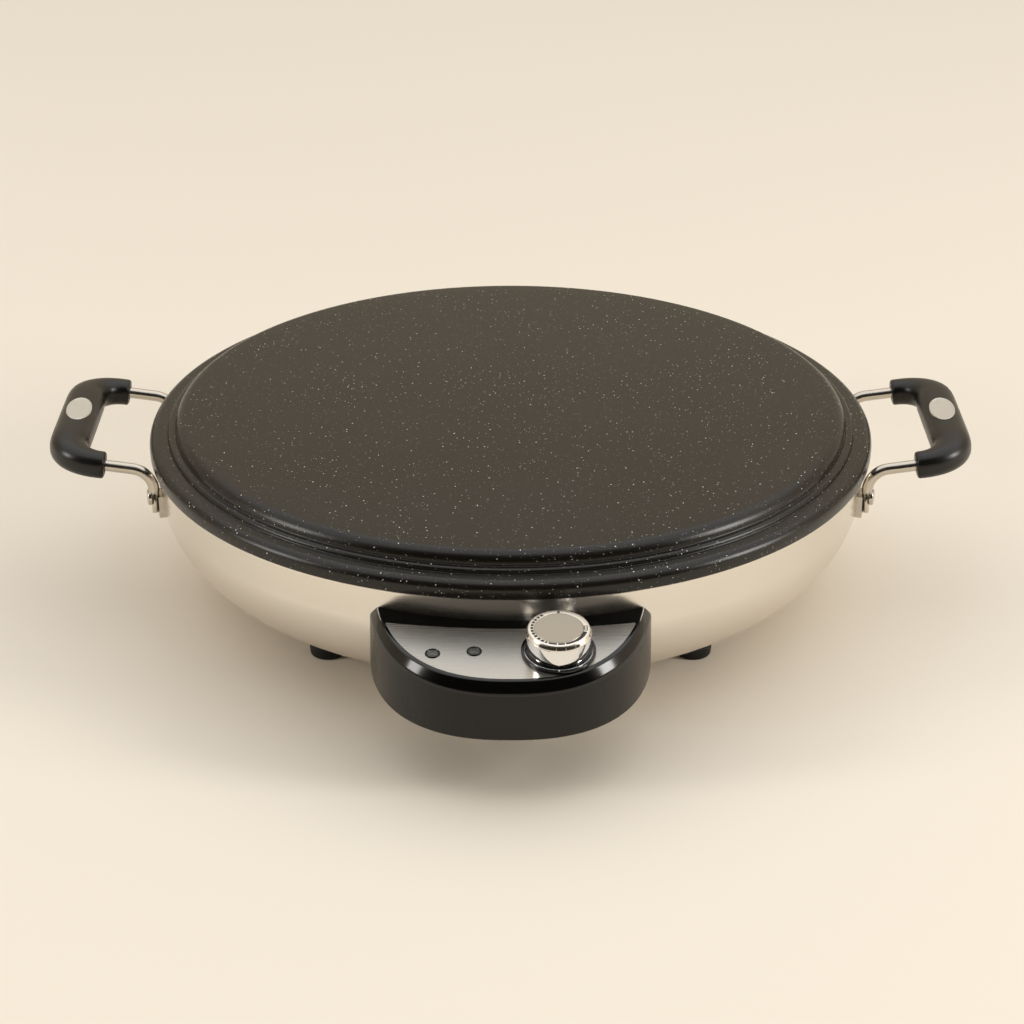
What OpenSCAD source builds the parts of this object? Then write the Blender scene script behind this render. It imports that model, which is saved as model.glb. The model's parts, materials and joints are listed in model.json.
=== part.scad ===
// Electric crepe maker: a cast, coated baking plate on a spun steel bowl,
// with a control box at the front (-Y) and a wire handle at each side (+X, -X).
// Millimetres, +Z up. The plate axis is the working axis of every module; the
// whole appliance is then moved along Y so that the origin is the centre of
// its footprint, on the surface it stands on.

/* [Baking plate] */
// Outside diameter of the plate's rim
plate_d = 380; // [360:1:400]
// Diameter of the raised baking disc
disc_d = 353.6; // [330:0.4:356]
// Height of the plate from the foot of its rim to the baking surface
plate_h = 17.3; // [15:0.1:20]
// Height of the rim's outer ridge
ridge_h = 8.6; // [8:0.1:10]
// Thickness of the disc
disc_t = 6; // [5:0.5:8]
// Rounding of the disc's top edge
disc_round = 4.5; // [3:0.1:5]
// Rounding of the rim's outer ridge
ridge_round = 3.2; // [2.5:0.1:4]
// Radial width of the rim's skirt
skirt_w = 6; // [5:0.5:7]

/* [Steel bowl] */
// Height of the bowl
bowl_h = 63.8; // [58:0.2:72]
// How far the bowl's wall stands in from the plate's rim
bowl_inset = 4; // [3:0.1:5]
// Radius of the bowl's rounded lower corner
bowl_corner_r = 48; // [40:1:52]
// Sheet thickness
bowl_t = 1; // [0.8:0.1:1.4]
// How far the rolled edge stands in from the plate's rim
hem_inset = 0.4; // [0.2:0.1:0.8]
// Height of the rolled edge
hem_h = 2.8; // [2:0.1:4]
// Radius of the access opening in the bottom
access_r = 84; // [70:1:90]
// Lap of the access cover around its opening
access_lap = 12; // [10:0.5:14]
// Sheet thickness of the access cover
access_t = 0.8; // [0.6:0.1:1.2]
// Number of vent slots in the access cover
vents = 20; // [12:1:24]

/* [Feet] */
// Height of a foot
foot_h = 17.5; // [14:0.5:20]
// Diameter of a foot at its top
foot_d = 20; // [16:0.5:22]
// Distance of the feet in from the edge of the bowl's flat bottom
foot_inset = 6; // [4:0.5:9]
// Diameter of a foot's screw
foot_screw_d = 4; // [3:0.5:5]

/* [Heater] */
// Radius of the heating element's ring
element_r = 105; // [98:1:110]
// Diameter of the element's tube
element_d = 8; // [6.5:0.5:9]
// Angle between the element's two ends
element_gap = 20; // [16:1:26]
// Length of the element's cold legs
leg_len = 38; // [32:1:40]
// Diameter of the tie rods
rod_d = 5; // [4:0.5:6]
// Distance of the tie rods in from the edge of the bowl's flat bottom
rod_inset = 10; // [9:0.5:14]
// Height of the heat shield over the bowl's floor
shield_lift = 42.7; // [38:0.1:46]
// Radius of the heat shield
shield_r = 150; // [140:1:152]
// Height of the heat shield's raised edge
shield_lip = 12; // [8:0.5:14]

/* [Control box] */
// Width of the box
box_w = 135.4; // [124:0.2:146]
// How far the box's front stands out from the bowl's wall
box_reach = 49.5; // [47:0.5:56]
// Depth of the box's outline, from its widest line to its front
box_depth = 84; // [80:0.5:92]
// Height of the box's front wall
box_front_h = 24.6; // [22:0.1:27]
// Height of the box's underside over the bowl's underside
box_lift = 15.5; // [13:0.1:17]
// Drop of the bevel round the panel
bevel_drop = 5.1; // [4.5:0.1:7]
// Tilt of the panel towards the user, in degrees
panel_tilt = 7.5; // [5:0.5:9]
// Wall of the box
box_wall = 3; // [2.5:0.1:3.2]
// Thickness of the box's roof under the fascia
roof_t = 3.3; // [3:0.1:4]
// Thickness of the box's bottom cover
cover_t = 1.8; // [1.5:0.1:2.5]
// Fullness of the box's outline (2 is an ellipse)
box_full = 2.4; // [2.2:0.05:2.6]

/* [Fascia] */
// Sheet thickness of the fascia
fascia_t = 1; // [0.8:0.1:1.2]
// Side border between the fascia and the box's wall
fascia_side = 5; // [4:0.1:6]
// Front border between the fascia and the box's wall
fascia_front = 4.5; // [3.6:0.1:5.4]
// Depth of the fascia on its centre line
fascia_depth = 37.9; // [34:0.1:40]
// Radius of the fascia's back edge
fascia_back_r = 350; // [300:10:500]

/* [Knob] */
// Diameter of the knob at its shoulder
knob_d = 30.2; // [27:0.1:31]
// Height of the knob over the panel
knob_h = 13.5; // [12:0.1:15]
// Diameter of the satin cap
cap_d = 22.6; // [20:0.1:23.5]
// Sideways place of the knob
knob_x = 22; // [20:0.5:24]
// Place of the knob's axis behind the box's front
knob_back = 24.8; // [24:0.1:28]
// Outside diameter of the bezel
bezel_d = 34.6; // [33.8:0.1:36]
// Diameter of the spindle
spindle_d = 6; // [5:0.5:6.5]
// Width of the thermostat's body
stat_w = 28; // [26:0.5:30]
// Height of the thermostat's body
stat_h = 15; // [13:0.5:16]
// Travel of the thermostat's pin over the knob's whole turn
pin_travel = 0.75; // [0.5:0.05:1]

/* [Lamps] */
// Outside diameter of a lamp's ring
lamp_d = 7.2; // [6.4:0.1:8]
// Sideways place of the outer lamp
lamp_x_outer = -35.8; // [-38:0.1:-34]
// Sideways place of the inner lamp
lamp_x_inner = -16.7; // [-20:0.1:-15]
// Place of the outer lamp behind the box's front
lamp_back_outer = 23.4; // [22:0.1:26]
// Place of the inner lamp behind the box's front
lamp_back_inner = 25; // [23:0.1:27]

/* [Handles] */
// Distance between the two arms of a handle
arm_span = 94; // [86:1:102]
// Diameter of the handle's wire
wire_d = 5.8; // [5:0.1:6.6]
// Upward slope of a handle, in degrees
handle_slope = 8; // [4:0.5:9]
// Reach of a handle's wire from its bend to its far side
handle_reach = 35.2; // [34:0.2:40]
// Height of a handle's bend under the baking surface
bend_drop = 16.6; // [14:0.1:18]
// Radius of the wire's downward bend
bend_r = 12; // [10:0.5:14]
// Radius of the wire's corners inside the grip
corner_r = 18; // [16:0.5:20]
// Width of the grip at its middle
grip_w = 21; // [19:0.2:24]
// Height of the grip at its middle
grip_h = 17; // [14:0.2:18]
// Diameter of the grip at its ends
grip_end_d = 13.4; // [12:0.2:15]
// Length of bare arm between the bend and the grip
bare_arm = 14; // [12:0.5:16]
// Length of a badge
badge_l = 28; // [24:0.5:30]
// Width of a badge
badge_w = 13; // [10:0.5:14]
// Thickness of a handle's flattened end
lug_t = 3; // [2.5:0.1:3.6]
// Width of a handle's flattened end
lug_w = 10; // [8:0.5:12]
// Length of a handle's flattened end
lug_len = 13; // [11:0.5:14]
// Thickness of the backing plate under a flattened end
backing_t = 2.5; // [2.2:0.1:3]
// Diameter of a rivet's head
rivet_d = 8.3; // [6.5:0.1:9]

/* [Cord entry] */
// Diameter of the gland's cord hole
gland_bore = 7.2; // [6:0.1:8]
// Diameter of the gland's barrel
gland_d = 14; // [12:0.5:16]
// How far the gland stands out from the bowl
gland_out = 12; // [10:0.5:16]
// Height of the gland under the rim of the bowl
gland_drop = 16; // [14:0.1:20]

/* [Hidden] */

$fn = 48;
eps = 0.01;
fit = 0.05;      // radial clearance of a shaft in its hole
slip = 0.2;      // radial clearance of a screw in its passage
seat = 0.1;      // clearance between a piece and the surface it lies on
m3 = 3;          // small screws
m4 = 4;          // larger screws and the rivets
m3_head = 2 * m3;                    // head diameters and heights of the screws
m3_head_h = 0.7 * m3;
m4_head = 1.85 * m4;
m4_head_h = 0.6 * m4;
far = 400;       // larger than anything it cuts

// Heights
bowl_z = foot_h;                     // underside of the bowl
floor_z = bowl_z + bowl_t;           // floor inside the bowl
rim_z = bowl_z + bowl_h;             // top of the bowl, foot of the plate's rim
top_z = rim_z + plate_h;             // baking surface
under_z = top_z - disc_t;            // underside of the disc

// Radii
plate_r = plate_d / 2;
disc_r = disc_d / 2;
bowl_r = plate_r - bowl_inset;       // the wall where the corner ends
wall_r = plate_r - 1.8;              // the wall where the rolled edge begins
hem_r = plate_r - hem_inset;
flat_r = bowl_r - bowl_corner_r;     // edge of the flat bottom
access_cover_r = access_r + access_lap;
foot_ring_r = flat_r - foot_inset;
rod_ring_r = flat_r - rod_inset;

// Plate profile
bead_r = (plate_r + disc_r) / 2 - 3.5;   // crest of the bead round the disc
bead_rise = 0.8;                         // bead's crest over the rim's flat ring
bead_round = 1.2;
groove_drop = 1.4;                       // groove between the disc and the bead, under the flat ring
pocket_r = disc_r - 7;                   // edge of the thin disc seen from below
flange_t = 4;                            // thickness of the rim under its flat ring

// Control box
box_y = -(bowl_r + box_reach);       // front of the box
box_mid_y = box_y + box_depth;       // widest line of the box
box_z = bowl_z + box_lift;           // underside of the box
panel_y0 = box_y + fascia_front;     // front edge of the fascia
panel_z0 = box_z + box_front_h + bevel_drop / cos(panel_tilt) + fascia_front * tan(panel_tilt);
recess_d = fascia_t + 0.2;           // depth of the fascia's recess
roof_h = recess_d + roof_t;          // roof's underside under the panel surface
knob_y = box_y + knob_back;
shank_h = 0.8;                       // gap between the fascia and the knob's skirt
shoulder_h = knob_h - 2.2;           // knob's shoulder over the panel
knob_top_d = knob_d - 1.6;
knob_hub_d = 12;
knob_wall = 3.6;
window_w = 76;                       // opening between the bowl and the box
window_h = 22;
window_z = box_z + cover_t + 5;
box_screw_az = 15;                   // azimuth of the screws that hold the box
box_screw_z = box_z + 25;
cover_screw_xy = [[-box_w / 3, 36], [box_w / 3, 36], [0, 12]]; // behind the box's front
cover_screw_len = 4.5 * m3;
cover_boss_d = 7;
housing_screw_len = 2.5 * m4;

// Thermostat, as heights under the panel surface
stat_top = -roof_h - seat / 2;
stat_bottom = stat_top - stat_h;
stat_shift = 3;                      // thermostat's centre behind the knob's axis
tab_in = -10;                        // terminal tabs, in from the thermostat's back face
stat_tab_low = -stat_h - 6;          // lower end of the tabs, from the thermostat's top
bush_d = spindle_d + 4;
bush_low = stat_top - 3.5;
spindle_low = stat_top - 1.5;
spindle_high = knob_h - 3.4;
nut_top = -fascia_t - 0.4;
nut_t = 2;
pin_d = 3;
pin_len = 8;
knob_turn = [-96, 180];              // the knob's limits, in degrees
pin_gap = 0.3 + pin_travel * knob_turn[1] / (knob_turn[1] - knob_turn[0]);

// Lamps
lamp_barrel_d = lamp_d - 0.9;
lamp_lens_d = lamp_d - 1.9;
lamp_len = 8;

// Handles
strap_r = bowl_r + 0.2 + backing_t;  // inside face of a flattened end
arm_y = arm_span / 2;
strap_az = asin(arm_y / (strap_r + lug_t / 2)); // azimuth of the flattened ends
bend_z = top_z - bend_drop;
bend_x = (strap_r + lug_t / 2) * cos(strap_az) + bend_r;  // centre of the downward bend
strap_top = bend_z - bend_r;
strap_low = strap_top - lug_len;     // lower end of the flattened ends
rivet_z = strap_top - 4;
shop_head_r = bowl_r - bowl_t - 0.2; // outer face of a rivet's inner head

// Cord entry
gland_z = rim_z - gland_drop;
gland_flange_t = 3;                  // thickness of the gland's flange at its centre
gland_flange_d = gland_d + 6;
gland_in = 14;                       // how far the gland reaches into the bowl
gland_end_y = bowl_r + gland_out;    // rear end of the gland

// The footprint's centre, seen from the plate axis
origin_y = (box_y + gland_end_y) / 2;

steel = [0.78, 0.76, 0.72];
chrome = [0.86, 0.86, 0.87];
black = [0.07, 0.07, 0.07];

// ---------------------------------------------------------------- helpers

// Points of an arc in a plane
function arc(cx, cy, r, a0, a1, n = 8) =
    [for (i = [0:n]) let (a = a0 + (a1 - a0) * i / n) [cx + r * cos(a), cy + r * sin(a)]];

// Half of a super-ellipse that opens towards +Y: the plan of the control box
function half_oval(hw, depth, n = 48) =
    [for (i = [0:n]) let (a = 180 * i / n)
        [hw * sign(cos(a)) * pow(abs(cos(a)), 2 / box_full), -depth * pow(sin(a), 2 / box_full)]];

module placed() translate([0, -origin_y, 0]) children();

// Copies at equal angles round the plate axis
module ring_of(n, r, a0 = 0)
    for (i = [0:n - 1]) rotate([0, 0, a0 + 360 * i / n]) translate([r, 0, 0]) children();

module sided(s) mirror([s < 0 ? 1 : 0, 0, 0]) children();

module tube(d_out, d_in, h) difference() {
    cylinder(d = d_out, h = h);
    translate([0, 0, -eps]) cylinder(d = d_in, h = h + 2 * eps);
}

module hex_nut(across, hole, h) difference() {
    cylinder(d = across / cos(30), h = h, $fn = 6);
    translate([0, 0, -eps]) cylinder(d = hole, h = h + 2 * eps);
}

// Pan-head screw: head under z = 0, shank upwards
module screw(d, len, head_d, head_h) {
    difference() {
        translate([0, 0, -head_h]) cylinder(d = head_d, h = head_h);
        translate([-head_d / 3, -d / 8, -head_h - eps]) cube([head_d / 1.5, d / 4, head_h / 3]);
        translate([-d / 8, -head_d / 3, -head_h - eps]) cube([d / 4, head_d / 1.5, head_h / 3]);
    }
    cylinder(d = d, h = len);
}

// A route with its corners cut twice, so that a wire along it bends smoothly
function cut_corners(p) = concat([p[0]],
    [for (i = [0:len(p) - 2]) each [0.75 * p[i] + 0.25 * p[i + 1], 0.25 * p[i] + 0.75 * p[i + 1]]],
    [p[len(p) - 1]]);
function unit(v) = v / norm(v);

// Wire along a route, swept as rings of flat sides; no stretch of a route runs along wire_ref
wire_ref = [0.31, 0.17, 0.12];
wire_sides = 8;
module lead(points, d) {
    p = cut_corners(cut_corners(points));
    n = len(p);
    rings = [for (i = [0:n - 1]) let (
        t = unit(p[min(i + 1, n - 1)] - p[max(i - 1, 0)]),
        u = unit(cross(t, wire_ref)), v = cross(t, u))
        each [for (k = [0:wire_sides - 1]) let (a = 360 * k / wire_sides)
            p[i] + d / 2 * (cos(a) * u + sin(a) * v)]];
    faces = concat(
        [[for (k = [0:wire_sides - 1]) k]],
        [[for (k = [wire_sides - 1:-1:0]) (n - 1) * wire_sides + k]],
        [for (i = [0:n - 2], k = [0:wire_sides - 1]) let (a = i * wire_sides, m = (k + 1) % wire_sides)
            [a + k, a + wire_sides + k, a + wire_sides + m, a + m]]);
    polyhedron(rings, faces, convexity = 8);
}

// ---------------------------------------------------------------- plate and heater

plate_profile = concat(
    [[0, top_z]],
    arc(disc_r - disc_round, top_z - disc_round, disc_round, 90, 0, 8),
    [[disc_r + 0.4, rim_z + ridge_h - groove_drop]],
    arc(bead_r, rim_z + ridge_h + bead_rise - bead_round, bead_round, 160, 40, 6),
    [[bead_r + 2, rim_z + ridge_h]],
    arc(plate_r - ridge_round, rim_z + ridge_h - ridge_round, ridge_round, 90, 0, 7),
    [[plate_r, rim_z + 0.8], [plate_r - 0.8, rim_z],
     [plate_r - skirt_w, rim_z],
     [plate_r - skirt_w, rim_z + ridge_h - flange_t],
     [pocket_r, rim_z + ridge_h - flange_t],
     [pocket_r - 2, under_z],
     [0, under_z]]);

clamp_t = 1.2;
clamp_z = under_z - element_d - clamp_t - fit;
clamp_top = clamp_z + clamp_t;
clamp_boss_r = element_r - element_d / 2 - 10;
clamp_in = clamp_boss_r - 6;
clamp_out = element_r + element_d / 2 + 3;
rod_boss_d = 14;
rod_bore = 9;                        // depth of a tie rod's hole
clamp_boss_d = 10;
clamp_bore = 6.5;                    // depth of a clamp screw's hole
rod_boss_z = under_z - 11;
boss_root = 2;                       // how far a boss runs up into the disc

module baking_plate() color([0.19, 0.17, 0.15]) difference() {
    union() {
        rotate_extrude($fn = 96) polygon(plate_profile);
        ring_of(4, rod_ring_r) translate([0, 0, rod_boss_z])
            cylinder(d = rod_boss_d, h = under_z + boss_root - rod_boss_z);
        ring_of(4, clamp_boss_r, 45) translate([0, 0, clamp_top])
            cylinder(d = clamp_boss_d, h = under_z + boss_root - clamp_top);
    }
    ring_of(4, rod_ring_r) translate([0, 0, rod_boss_z - eps]) cylinder(d = rod_d + 2 * fit, h = rod_bore);
    ring_of(4, clamp_boss_r, 45) translate([0, 0, clamp_top - eps])
        cylinder(d = m3 + 2 * fit, h = clamp_bore);
}

element_z = under_z - element_d / 2 - fit / 2;
leg_az = element_gap / 2;
leg_d = element_d + 0.8;             // cold-end sleeve
leg_pin_len = 8;

module heating_element() color([0.35, 0.34, 0.33]) {
    translate([0, 0, element_z]) rotate([0, 0, -90 + leg_az])
        rotate_extrude(angle = 360 - element_gap, $fn = 96)
            translate([element_r, 0]) circle(d = element_d, $fn = 32);
    for (s = [-1, 1]) rotate([0, 0, -90 + s * leg_az]) translate([element_r, 0, element_z - leg_len]) {
        translate([0, 0, leg_pin_len]) cylinder(d = leg_d, h = leg_len - leg_pin_len + element_d / 2 - 0.5);
        cylinder(d = 3.5, h = leg_pin_len + 1);
    }
}

module element_clamp() color(steel) difference() {
    translate([0, 0, clamp_z]) rotate([0, 0, -90 + leg_az + 6])
        rotate_extrude(angle = 360 - element_gap - 12, $fn = 96)
            translate([clamp_in, 0]) square([clamp_out - clamp_in, clamp_t]);
    ring_of(4, clamp_boss_r, 45) translate([0, 0, clamp_z - 1]) cylinder(d = m3 + 2 * slip, h = 3);
}

module clamp_screws() color(steel)
    ring_of(4, clamp_boss_r, 45) translate([0, 0, clamp_z])
        screw(m3, clamp_t + clamp_bore - 0.5, m3_head, m3_head_h);

shield_z = floor_z + shield_lift;
shield_t = 0.8;
shield_flare = 1.5;                  // how far the shield's raised edge leans out
slot_half = element_r * sin(leg_az) + 6;
slot_mid = element_r * cos(leg_az);

module heat_shield() color([0.72, 0.72, 0.70]) difference() {
    rotate_extrude($fn = 96) polygon([[0, shield_z], [shield_r, shield_z],
        [shield_r + shield_flare, shield_z + shield_lip],
        [shield_r + shield_flare - shield_t, shield_z + shield_lip],
        [shield_r - shield_t, shield_z + shield_t], [0, shield_z + shield_t]]);
    ring_of(4, rod_ring_r) translate([0, 0, shield_z - 1]) cylinder(d = rod_d + 2 * slip, h = 3);
    translate([-slot_half, -slot_mid - 8, shield_z - 1]) cube([2 * slot_half, 18, 3]);
}

module shield_spacers() color(steel)
    ring_of(4, rod_ring_r) translate([0, 0, floor_z]) tube(rod_d + 4, rod_d + 2 * slip, shield_lift);

module shield_nuts() color(steel)
    ring_of(4, rod_ring_r) translate([0, 0, shield_z + shield_t]) hex_nut(rod_d + 3, rod_d + 2 * fit, 4);

rod_low = bowl_z - 7;

module tie_rods() color(steel)
    ring_of(4, rod_ring_r) translate([0, 0, rod_low])
        cylinder(d = rod_d, h = rod_boss_z + rod_bore - 1 - rod_low);

module tie_nuts() color(steel)
    ring_of(4, rod_ring_r) {
        translate([0, 0, bowl_z - 1]) tube(rod_d + 7, rod_d + 2 * slip, 1);
        translate([0, 0, bowl_z - 5]) hex_nut(rod_d + 3, rod_d + 2 * fit, 4);
    }

// Sensor bulb under the plate, with the capillary that runs down to the thermostat
bulb_d = 6;
bulb_y = -(pocket_r - 20.8);         // in from the edge of the thin disc
bulb_z = under_z - bulb_d / 2 - fit;
bulb_end = 30;
capillary_d = 2;
drop_y = -(shield_r + shield_flare + 6); // where the capillary passes the heat shield's edge
capillary_route = [
    [bulb_end - 1, bulb_y, bulb_z], [bulb_end + 6, bulb_y - 4, bulb_z - 2],
    [bulb_end + 6, drop_y, bulb_z - 14], [bulb_end + 2, drop_y, shield_z - 2],
    [bulb_end, 12 - bowl_r, window_z + window_h - 6],
    stat_point(8, 12, -6), stat_point(8, 0.1, -6)];

module sensor_bulb() color([0.75, 0.55, 0.35]) {
    translate([-bulb_end, bulb_y, bulb_z]) rotate([0, 90, 0]) cylinder(d = bulb_d, h = 2 * bulb_end);
    lead(capillary_route, capillary_d);
}

clip_w = 12;
clip_t = 1.2;

module sensor_clip() color(steel)
    for (x = [-bulb_end / 2, bulb_end / 2]) translate([x - clip_w / 2, bulb_y, 0]) difference() {
        translate([0, -bulb_d / 2 - clip_t, under_z - bulb_d - clip_t - seat])
            cube([clip_w, bulb_d + 2 * clip_t, bulb_d + clip_t + seat]);
        translate([-1, -bulb_d / 2 - fit, under_z - bulb_d - seat])
            cube([clip_w + 2, bulb_d + 2 * fit, bulb_d + 1]);
    }

// Thermal fuse on the shield, beside the slot for the element's legs
fuse_d = 4.4;
fuse_l = 14;
fuse_y = -slot_mid + 18;
fuse_z = shield_z + shield_t + fuse_d / 2 + fit;

// Where a fuse's wire meets its lead, under the slot
function fuse_joint(s) = [s * 11, 4 - slot_mid, shield_z - 12];

module thermal_fuse() color([0.85, 0.82, 0.74]) {
    translate([-fuse_l / 2, fuse_y, fuse_z]) rotate([0, 90, 0]) cylinder(d = fuse_d, h = fuse_l, $fn = 32);
    for (s = [-1, 1])
        lead([[s * (fuse_l / 2 - 0.5), fuse_y, fuse_z], fuse_joint(s) + [0, 14, 15],
            fuse_joint(s) + [0, 2, 15], fuse_joint(s) + [0, 0, 6], fuse_joint(s)], 1.2);
}

module fuse_clip() color(steel) translate([-3, fuse_y, shield_z + shield_t]) difference() {
    union() {
        translate([0, -fuse_d / 2 - 1, 0]) cube([6, fuse_d + 2, fuse_d + 1]);
        translate([0, -fuse_d / 2 - 7, 0]) cube([6, fuse_d + 14, 1]);
    }
    translate([-1, -fuse_d / 2 - fit, -1]) cube([8, fuse_d + 2 * fit, fuse_d + 1.2]);
}

// ---------------------------------------------------------------- bowl and what it carries

bowl_outside = concat(
    [[0, bowl_z], [flat_r, bowl_z]],
    arc(flat_r, bowl_z + bowl_corner_r, bowl_corner_r, -84, -6, 13),
    [[bowl_r, bowl_z + bowl_corner_r],
     [wall_r, rim_z - hem_h],
     [hem_r, rim_z - hem_h / 3],
     [hem_r, rim_z]]);

bowl_inside = concat(
    [[hem_r - bowl_t, rim_z], [hem_r - bowl_t - 0.2, rim_z - hem_h / 3],
     [wall_r - bowl_t, rim_z - hem_h],
     [bowl_r - bowl_t, bowl_z + bowl_corner_r]],
    arc(flat_r, bowl_z + bowl_corner_r, bowl_corner_r - bowl_t, -6, -84, 13),
    [[flat_r, floor_z], [0, floor_z]]);

// Everything within the bowl's outside, used to fit the box against the wall
module bowl_filled(gap) rotate_extrude($fn = 240)
    polygon(concat([[0, bowl_z - gap], [flat_r, bowl_z - gap]],
        arc(flat_r, bowl_z + bowl_corner_r, bowl_corner_r + gap, -84, -6, 13),
        [[bowl_r + gap, bowl_z + bowl_corner_r], [wall_r + gap, rim_z - hem_h],
         [hem_r + gap, rim_z - hem_h / 3], [hem_r + gap, rim_z + 1], [0, rim_z + 1]]));

module box_screw_bores(d) for (s = [-1, 1]) rotate([0, 0, s * box_screw_az])
    translate([0, 20 - bowl_r, box_screw_z]) rotate([90, 0, 0]) cylinder(d = d, h = 30);

// Radius of the bowl's inner face at a height within its rounded corner
function bowl_in_r(z) = flat_r + sqrt(pow(bowl_corner_r - bowl_t, 2) - pow(bowl_z + bowl_corner_r - z, 2));

module base_bowl() color(steel) difference() {
    rotate_extrude($fn = 96) polygon(concat(bowl_outside, bowl_inside));
    translate([0, 0, bowl_z - 1]) {
        cylinder(r = access_r, h = bowl_t + 2, $fn = 96);
        ring_of(4, rod_ring_r) cylinder(d = rod_d + 2 * slip, h = bowl_t + 2);
        ring_of(4, foot_ring_r, 45) cylinder(d = foot_screw_d + 2 * slip, h = bowl_t + 2);
        access_screw_ring() cylinder(d = m3 + 2 * fit, h = bowl_t + 2);
        rotate([0, 0, earth_az]) translate([earth_r, 0, 0]) cylinder(d = m4 + 2 * fit, h = bowl_t + 2);
    }
    translate([-window_w / 2, -bowl_r - 5, window_z]) cube([window_w, 45, window_h]);
    box_screw_bores(m4 + 2 * slip);
    for (s = [-1, 1]) sided(s) strap_bores(m4 + 2 * slip);
    translate([0, bowl_r - 20, gland_z]) rotate([-90, 0, 0]) cylinder(d = gland_d + 2 * fit, h = 30);
}

vent_r = 52;                         // middle of the vent slots
vent_len = 24;
vent_w = 3;

access_screw_len = 1.7 * m3;

module access_screw_ring() ring_of(6, access_cover_r - 5, 15) children();

module access_cover() color(steel) difference() {
    translate([0, 0, bowl_z - access_t]) cylinder(r = access_cover_r, h = access_t, $fn = 96);
    translate([0, 0, bowl_z - access_t - 1]) {
        access_screw_ring() cylinder(d = m3 + 2 * slip, h = access_t + 2);
        ring_of(vents, vent_r, 9) translate([-vent_len / 2, -vent_w / 2, 0])
            cube([vent_len, vent_w, access_t + 2]);
    }
}

module access_screws() color(steel)
    access_screw_ring() translate([0, 0, bowl_z - access_t]) screw(m3, access_screw_len, m3_head, m3_head_h);

foot_well_d = 9;                     // recess for the screw's head
foot_web = 7;                        // rubber between the screw's head and the bowl
foot_nut_h = 0.8 * foot_screw_d;

module foot(s, t) color(black) rotate([0, 0, atan2(t, s)]) translate([foot_ring_r, 0, 0]) difference() {
    rotate_extrude() polygon([[0, 0], [foot_d / 2 - 1.4, 0], [foot_d / 2 - 0.7, 0.8],
        [foot_d / 2, foot_h - 2], [foot_d / 2, foot_h], [0, foot_h]]);
    translate([0, 0, -1]) cylinder(d = foot_well_d, h = foot_h - foot_web + 1);
    translate([0, 0, -1]) cylinder(d = foot_screw_d + 2 * fit, h = foot_h + 2);
}

module foot_front_left() foot(-1, -1);
module foot_front_right() foot(1, -1);
module foot_rear_left() foot(-1, 1);
module foot_rear_right() foot(1, 1);

module foot_screws() color(steel)
    ring_of(4, foot_ring_r, 45) {
        translate([0, 0, foot_h - foot_web])
            screw(foot_screw_d, foot_web + bowl_t + foot_nut_h + 0.8, foot_well_d - 1.6, 0.65 * foot_screw_d);
        translate([0, 0, floor_z]) hex_nut(1.75 * foot_screw_d, foot_screw_d + 2 * fit, foot_nut_h);
    }

// Terminal block, earth stud and leads
block_l = 44;
block_w = 16;
block_h = 15;
block_y = access_r + 9;
earth_az = 60;
earth_r = access_r + 36;
lead_d = 2.6;

module terminal_block() color([0.88, 0.86, 0.80]) difference() {
    translate([-block_l / 2, block_y, floor_z]) cube([block_l, block_w, block_h]);
    for (x = [-13, 0, 13]) {
        translate([x, block_y - 1, floor_z + 6]) rotate([-90, 0, 0]) cylinder(d = lead_d + 2 * fit, h = 7);
        translate([x, block_y + 4, floor_z + 9]) cylinder(d = 4, h = 10);
    }
}

module earth_stud() color([0.80, 0.65, 0.35]) rotate([0, 0, earth_az]) translate([earth_r, 0, bowl_z]) {
    screw(m4, 3.5 * m4, m4_head, m4_head_h);
    translate([0, 0, bowl_t]) hex_nut(1.75 * m4, m4 + 2 * fit, 3);
    translate([0, 0, bowl_t + 3]) tube(9, m4 + 2 * fit, 0.8);
}

function on_floor(x, y, up) = [x, y, floor_z + up];
block_entry = 4;                     // how far a lead enters the terminal block
leg_x = element_r * sin(leg_az);
leg_low = element_z - leg_len;

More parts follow.
